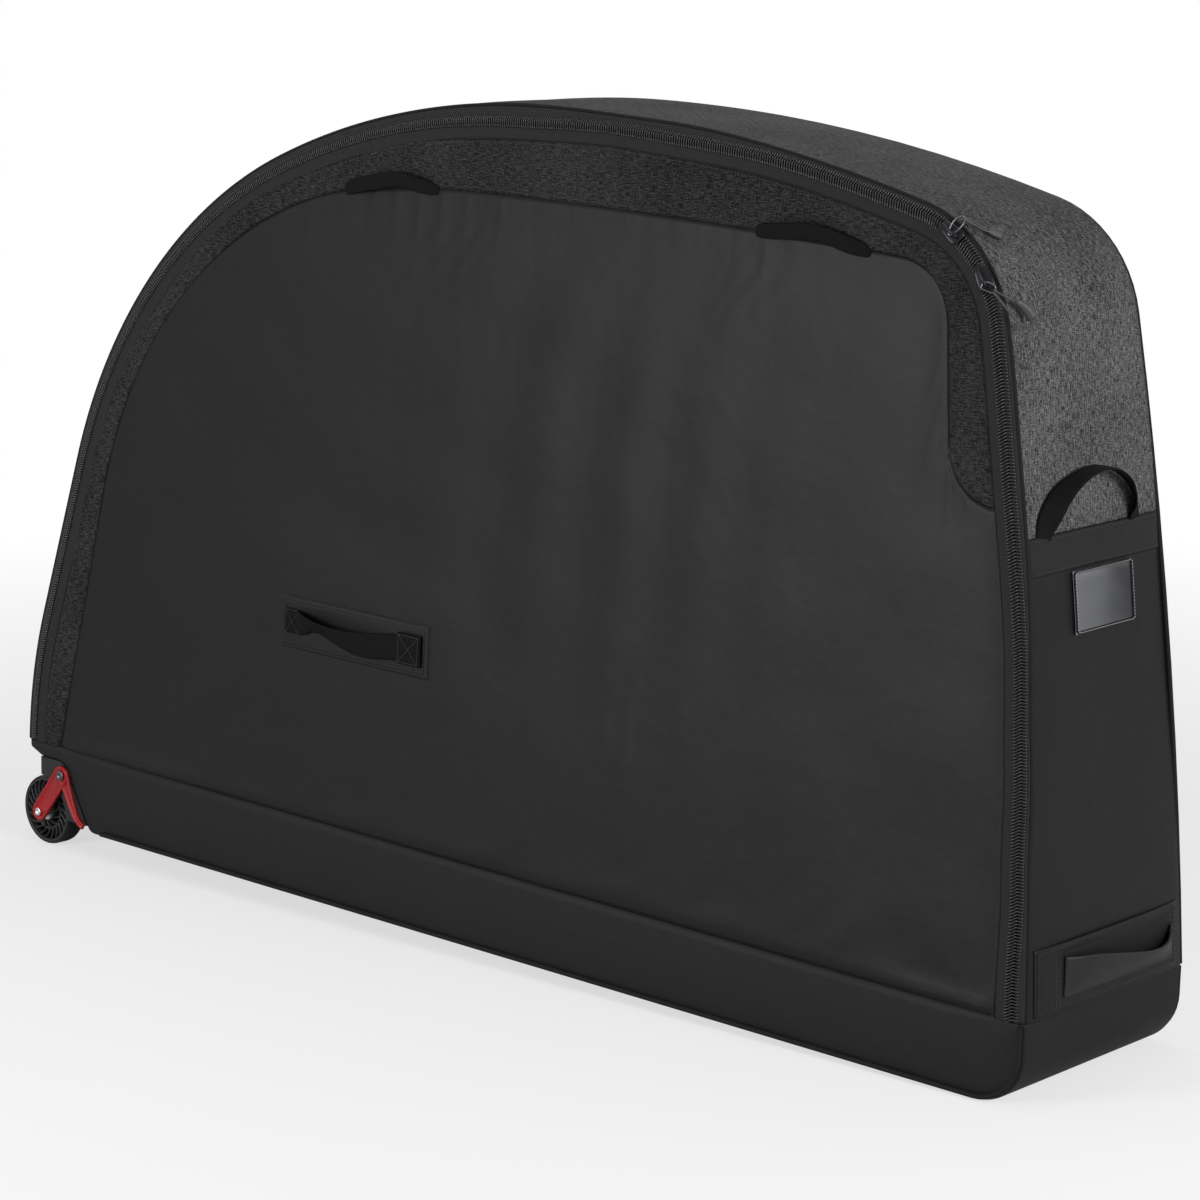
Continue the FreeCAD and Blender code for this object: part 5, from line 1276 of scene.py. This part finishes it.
def turned(side, profile, count, centre=AXLE):
    """Surface of revolution across the case: a profile of (out from the wheel's middle, radius) turned round."""
    turn = np.arange(count) * 2 * math.pi / count
    profile = np.asarray(profile, float)
    x = centre.real + profile[:, 1:] * np.cos(turn)[None]
    z = centre.imag + profile[:, 1:] * np.sin(turn)[None]
    y = np.broadcast_to(side * (WHEEL_REACH + profile[:, :1]), x.shape)
    return level(x, y, z)


def plate(outline, side, inner, outer, border, dish):
    """Flat part with a raised border: outline rings at the back, the front edge, inside the border and the dish."""
    way = np.roll(outline, -1) - np.roll(outline, 1)
    inward = 1j * way / np.abs(way)
    rings = [(0.0, inner), (0.0, outer - 0.0006), (0.0006, outer), (border, outer), (border + 0.0007, outer - dish)]
    points = np.stack([level((outline + depth * inward).real, side * y, (outline + depth * inward).imag)
                       for depth, y in rings])
    return Surface(points, around=True, caps=True)


def stadium(start, end, first, last, count=14):
    """Outline of a round-ended arm between two points, with a radius at each end, anticlockwise."""
    way = np.angle(end - start)
    return np.concatenate([start + first * np.exp(1j * (way + np.linspace(0.5, 1.5, count) * math.pi)),
                           end + last * np.exp(1j * (way + np.linspace(-0.5, 0.5, count) * math.pi))])


class CASE_OT_wheels(bpy.types.Operator):
    """Wheels: treaded tyres, hubs with curved spokes and the red brackets that hold them"""
    bl_idname = "travel_case.wheels"
    bl_label = "Wheels"

    def execute(self, context):
        spokes = context.scene.case_sizes.spokes
        half = WHEEL_WIDTH / 2
        for side, name in ((NEAR, "near"), (FAR, "far")):
            tread = [(-half + 0.0006, 0.0368), (-half, 0.0373), (-half + 0.0003, 0.0384), (-half + 0.0020, 0.0394),
                     (-half + 0.0050, 0.0400), (-0.0012, 0.0400), (-0.0008, 0.0393), (0.0008, 0.0393),
                     (0.0012, 0.0400), (half - 0.0050, 0.0400), (half - 0.0020, 0.0394), (half - 0.0003, 0.0384),
                     (half, 0.0373), (half - 0.0006, 0.0368)]
            loop = turned(side, tread + tread[:1], 96)
            make_piece(f"tyre_{name}_tread", Surface(loop, around=True), "tyre", f"wheel_{name}",
                       (f"tyre_{name}",))
            rim = [(-0.0110, 0.0346), (-0.0110, 0.0371), (0.0112, 0.0371), (0.0118, 0.0366), (0.0118, 0.0352),
                   (0.0110, 0.0346), (-0.0110, 0.0346)]
            hoop = [(-0.0020, 0.0208), (-0.0020, 0.0228), (0.0092, 0.0228), (0.0098, 0.0222), (0.0098, 0.0213),
                    (0.0092, 0.0208), (-0.0020, 0.0208)]
            boss = [(-0.0110, 0.0112), (-0.0110, 0.0130), (0.0112, 0.0130), (0.0120, 0.0123), (0.0120, 0.0112),
                    (-0.0110, 0.0112)]
            web = [(-0.0040, 0.0120), (-0.0040, 0.0350), (-0.0026, 0.0350), (-0.0026, 0.0120), (-0.0040, 0.0120)]
            parts = [Surface(turned(side, ring_line, 72), around=True) for ring_line in (rim, hoop, boss, web)]
            t = np.linspace(0, 1, 9)
            for start, length, bend, count in ((0.0124, 0.0092, 0.42, spokes), (0.0220, 0.0134, -0.34, 2 * spokes)):
                for k in range(count):
                    turn = k * 2 * math.pi / count + bend * t ** 1.2
                    spot = AXLE + (start + length * t) * np.exp(1j * turn)
                    path = level(spot.real, side * (WHEEL_REACH + 0.0040), spot.imag)
                    parts.append(bar(path, ASIDE, ring(0.0066, 0.0011, 8, 3.0)))
            make_piece(f"hub_{name}_spokes", parts, "hub", f"wheel_{name}", (f"hub_{name}",))
            arm = stadium(PIVOT, AXLE, 0.0110, 0.0105)
            curve = smooth_path([(PIVOT.real + 0.001, PIVOT.imag + 0.004), (0.0690, 0.0330), (0.0775, 0.0150),
                                 (0.0850, 0.0030), (0.0960, -0.0045)], 26)
            centre = curve[:, 0] + 1j * curve[:, 1]
            way = np.gradient(centre)
            wide = np.interp(np.linspace(0, 1, 26), (0, 0.25, 1), (0.0095, 0.0066, 0.0030))
            left = centre + 1j * way / np.abs(way) * wide
            right = centre - 1j * way / np.abs(way) * wide
            leg = np.concatenate([right, left[::-1]])
            make_piece(f"bracket_{name}_arms", [plate(arm, side, 0.1240, 0.1284, 0.0026, 0.0010),
                                                plate(leg, side, 0.1240, 0.1278, 0.0018, 0.0007)],
                       "red_bracket", "case", (f"wheel_bracket_{name}",))
        for node, slot, centre, head in (("axle_bolts", "steel", AXLE, 0.0046),
                                         ("pivot_bolts", "dark_bolt", PIVOT, 0.0058)):
            stem = [(-0.0200, 0.0), (-0.0200, 0.0036), (0.0234, 0.0036), (0.0234, head), (0.0242, head),
                    (0.0248, head - 0.0008), (0.0250, 0.0026), (0.0236, 0.0022), (0.0236, 0.0)]
            make_piece(f"{node}_heads", [Surface(turned(side, stem, 24, centre), around=True) for side in (NEAR, FAR)],
                       slot, "case", (node,))
        return {"FINISHED"}


class CASE_OT_fittings(bpy.types.Operator):
    """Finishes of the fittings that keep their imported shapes"""
    bl_idname = "travel_case.fittings"
    bl_label = "Fittings"

    def execute(self, context):
        slots = {part["node"]: part["material_slot"] for part in frame["record"]["subparts"]}
        for name, piece in frame["nodes"].items():
            piece.data.materials.clear()
            piece.data.materials.append(FINISHES["dark_bolt" if name == "axle_spacers" else slots[name]])
        return {"FINISHED"}


# ---------------------------------------------------------------- studio
def placed(right, up, back, place):
    """Matrix of a lamp or camera from its three directions and its place."""
    return Matrix(np.vstack([np.column_stack([right, up, back, place]), [0, 0, 0, 1]]).tolist())


class CASE_OT_stage(bpy.types.Operator):
    """Pale floor, white surround, soft lights and the camera"""
    bl_idname = "travel_case.stage"
    bl_label = "Stage"

    def execute(self, context):
        scene = context.scene
        scene.view_settings.view_transform = "Standard"
        x, y = np.meshgrid(np.linspace(-14, 14, 3), np.linspace(-14, 14, 3), indexing="ij")
        ground = bpy.data.meshes.new("studio_floor")
        surface = Surface(np.stack([x, y, np.zeros_like(x)], -1))
        ground.from_pydata(surface.points.tolist(), [], surface.faces.tolist())
        floor = bpy.data.objects.new("studio_floor", ground)
        scene.collection.objects.link(floor)
        finish = Finish("studio_floor", Roughness=0.9, Specular_IOR_Level=0.1)
        seen = finish.node("ShaderNodeLightPath", output="Is Camera Ray")
        glow = finish.node("ShaderNodeEmission", None, {"Color": (1, 1, 1, 1), "Strength": 1.0})
        cloud = finish.noise(3.0, 2.0)
        away = finish.node("ShaderNodeVectorMath", {"operation": "LENGTH"}, {0: finish.place()}, output="Value")
        white = finish.node("ShaderNodeMapRange", None, {"Value": away, 1: 0.9, 2: 2.6, 3: 0.62, 4: 1.0})
        finish.done(Base_Color=finish.blend(cloud, shade(scene.case_colours.floor, 0.99),
                                            shade(scene.case_colours.floor, 1.01)))
        mixed = finish.node("ShaderNodeMixShader", None, {0: seen * white, 2: glow})
        finish.tree.links.new(finish.shader.outputs[0], mixed.socket.node.inputs[1])
        finish.tree.links.new(mixed.socket, finish.tree.nodes["Material Output"].inputs["Surface"])
        ground.materials.append(finish.material)

        world = bpy.data.worlds.new("studio")
        scene.world = world
        world.use_nodes = True
        tree = world.node_tree
        light = tree.nodes["Background"]
        light.inputs["Color"].default_value = (1, 1, 1, 1)
        path = tree.nodes.new("ShaderNodeLightPath")
        seen = tree.nodes.new("ShaderNodeMath")
        seen.operation = "MAXIMUM"
        tree.links.new(path.outputs["Is Camera Ray"], seen.inputs[0])
        tree.links.new(path.outputs["Is Glossy Ray"], seen.inputs[1])
        strength = tree.nodes.new("ShaderNodeMapRange")
        tree.links.new(seen.outputs[0], strength.inputs["Value"])
        strength.inputs["To Min"].default_value = 0.26
        strength.inputs["To Max"].default_value = 1.0
        tree.links.new(strength.outputs[0], light.inputs["Strength"])

        for name, place, aim, size, power in (
                ("key_light", (-0.7, -2.7, 0.8), (0.1, 0.0, 0.4), 1.0, 52.0),
                ("end_light", (3.4, -0.5, 1.25), (0.7, 0.0, 0.5), 1.4, 84.0),
                ("top_light", (0.1, 0.3, 3.4), (0.0, 0.0, 0.5), 1.8, 14.0)):
            lamp = bpy.data.lights.new(name, "AREA")
            lamp.shape, lamp.size, lamp.energy = "DISK", size, power
            spot = bpy.data.objects.new(name, lamp)
            back = unit(np.array(place) - np.array(aim))
            right = unit(np.cross((0, 0, 1), back))
            spot.matrix_world = placed(right, np.cross(back, right), back, place)
            scene.collection.objects.link(spot)

        yaw, pitch, roll = (math.radians(angle) for angle in PHOTO_TURNS)
        back = np.array([math.sin(yaw) * math.cos(pitch), -math.cos(yaw) * math.cos(pitch), math.sin(pitch)])
        right = np.array([math.cos(yaw), math.sin(yaw), 0.0])
        up = np.cross(back, right)
        right, up = right * math.cos(roll) + up * math.sin(roll), up * math.cos(roll) - right * math.sin(roll)
        turn = np.array([right, up, back]) @ AXES
        lens = bpy.data.cameras.new("photo_camera")
        lens.sensor_width, lens.lens, lens.clip_end = SENSOR, SENSOR * PHOTO_FOCAL, 60.0
        camera = bpy.data.objects.new("photo_camera", lens)
        camera.matrix_world = placed(*turn, level(*PHOTO_EYE))
        scene.collection.objects.link(camera)
        scene.camera = camera
        return {"FINISHED"}


STEPS = (CASE_OT_rim, CASE_OT_panels, CASE_OT_zip, CASE_OT_boot, CASE_OT_webbing, CASE_OT_front_end, CASE_OT_wheels,
         CASE_OT_fittings, CASE_OT_stage)


class CASE_PT_panel(bpy.types.Panel):
    """Settings and steps of the travel case"""
    bl_idname = "CASE_PT_panel"
    bl_label = "Travel Case"
    bl_space_type = "VIEW_3D"
    bl_region_type = "UI"
    bl_category = "Travel Case"

    def draw(self, context):
        for group in (context.scene.case_sizes, context.scene.case_colours):
            for name in group.__annotations__:
                self.layout.prop(group, name)
        for step in STEPS:
            self.layout.operator(step.bl_idname)


CLASSES = (CaseSizes, CaseColours) + STEPS + (CASE_PT_panel,)


def register():
    """Registers the classes and hangs the settings on the scene."""
    for kind in CLASSES:
        bpy.utils.register_class(kind)
    bpy.types.Scene.case_sizes = bpy.props.PointerProperty(type=CaseSizes)
    bpy.types.Scene.case_colours = bpy.props.PointerProperty(type=CaseColours)


def unregister():
    """Takes the settings and the classes away again."""
    del bpy.types.Scene.case_sizes
    del bpy.types.Scene.case_colours
    for kind in reversed(CLASSES):
        bpy.utils.unregister_class(kind)


def main():
    """Makes every piece in order."""
    register()
    make_finishes(bpy.context.scene.case_colours)
    bpy.ops.travel_case.stage()
    bpy.ops.travel_case.fittings()
    bpy.ops.travel_case.rim()
    bpy.ops.travel_case.panels()
    bpy.ops.travel_case.zip()
    bpy.ops.travel_case.boot()
    bpy.ops.travel_case.webbing()
    bpy.ops.travel_case.front_end()
    bpy.ops.travel_case.wheels()
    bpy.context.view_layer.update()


if __name__ == "__main__":
    main()
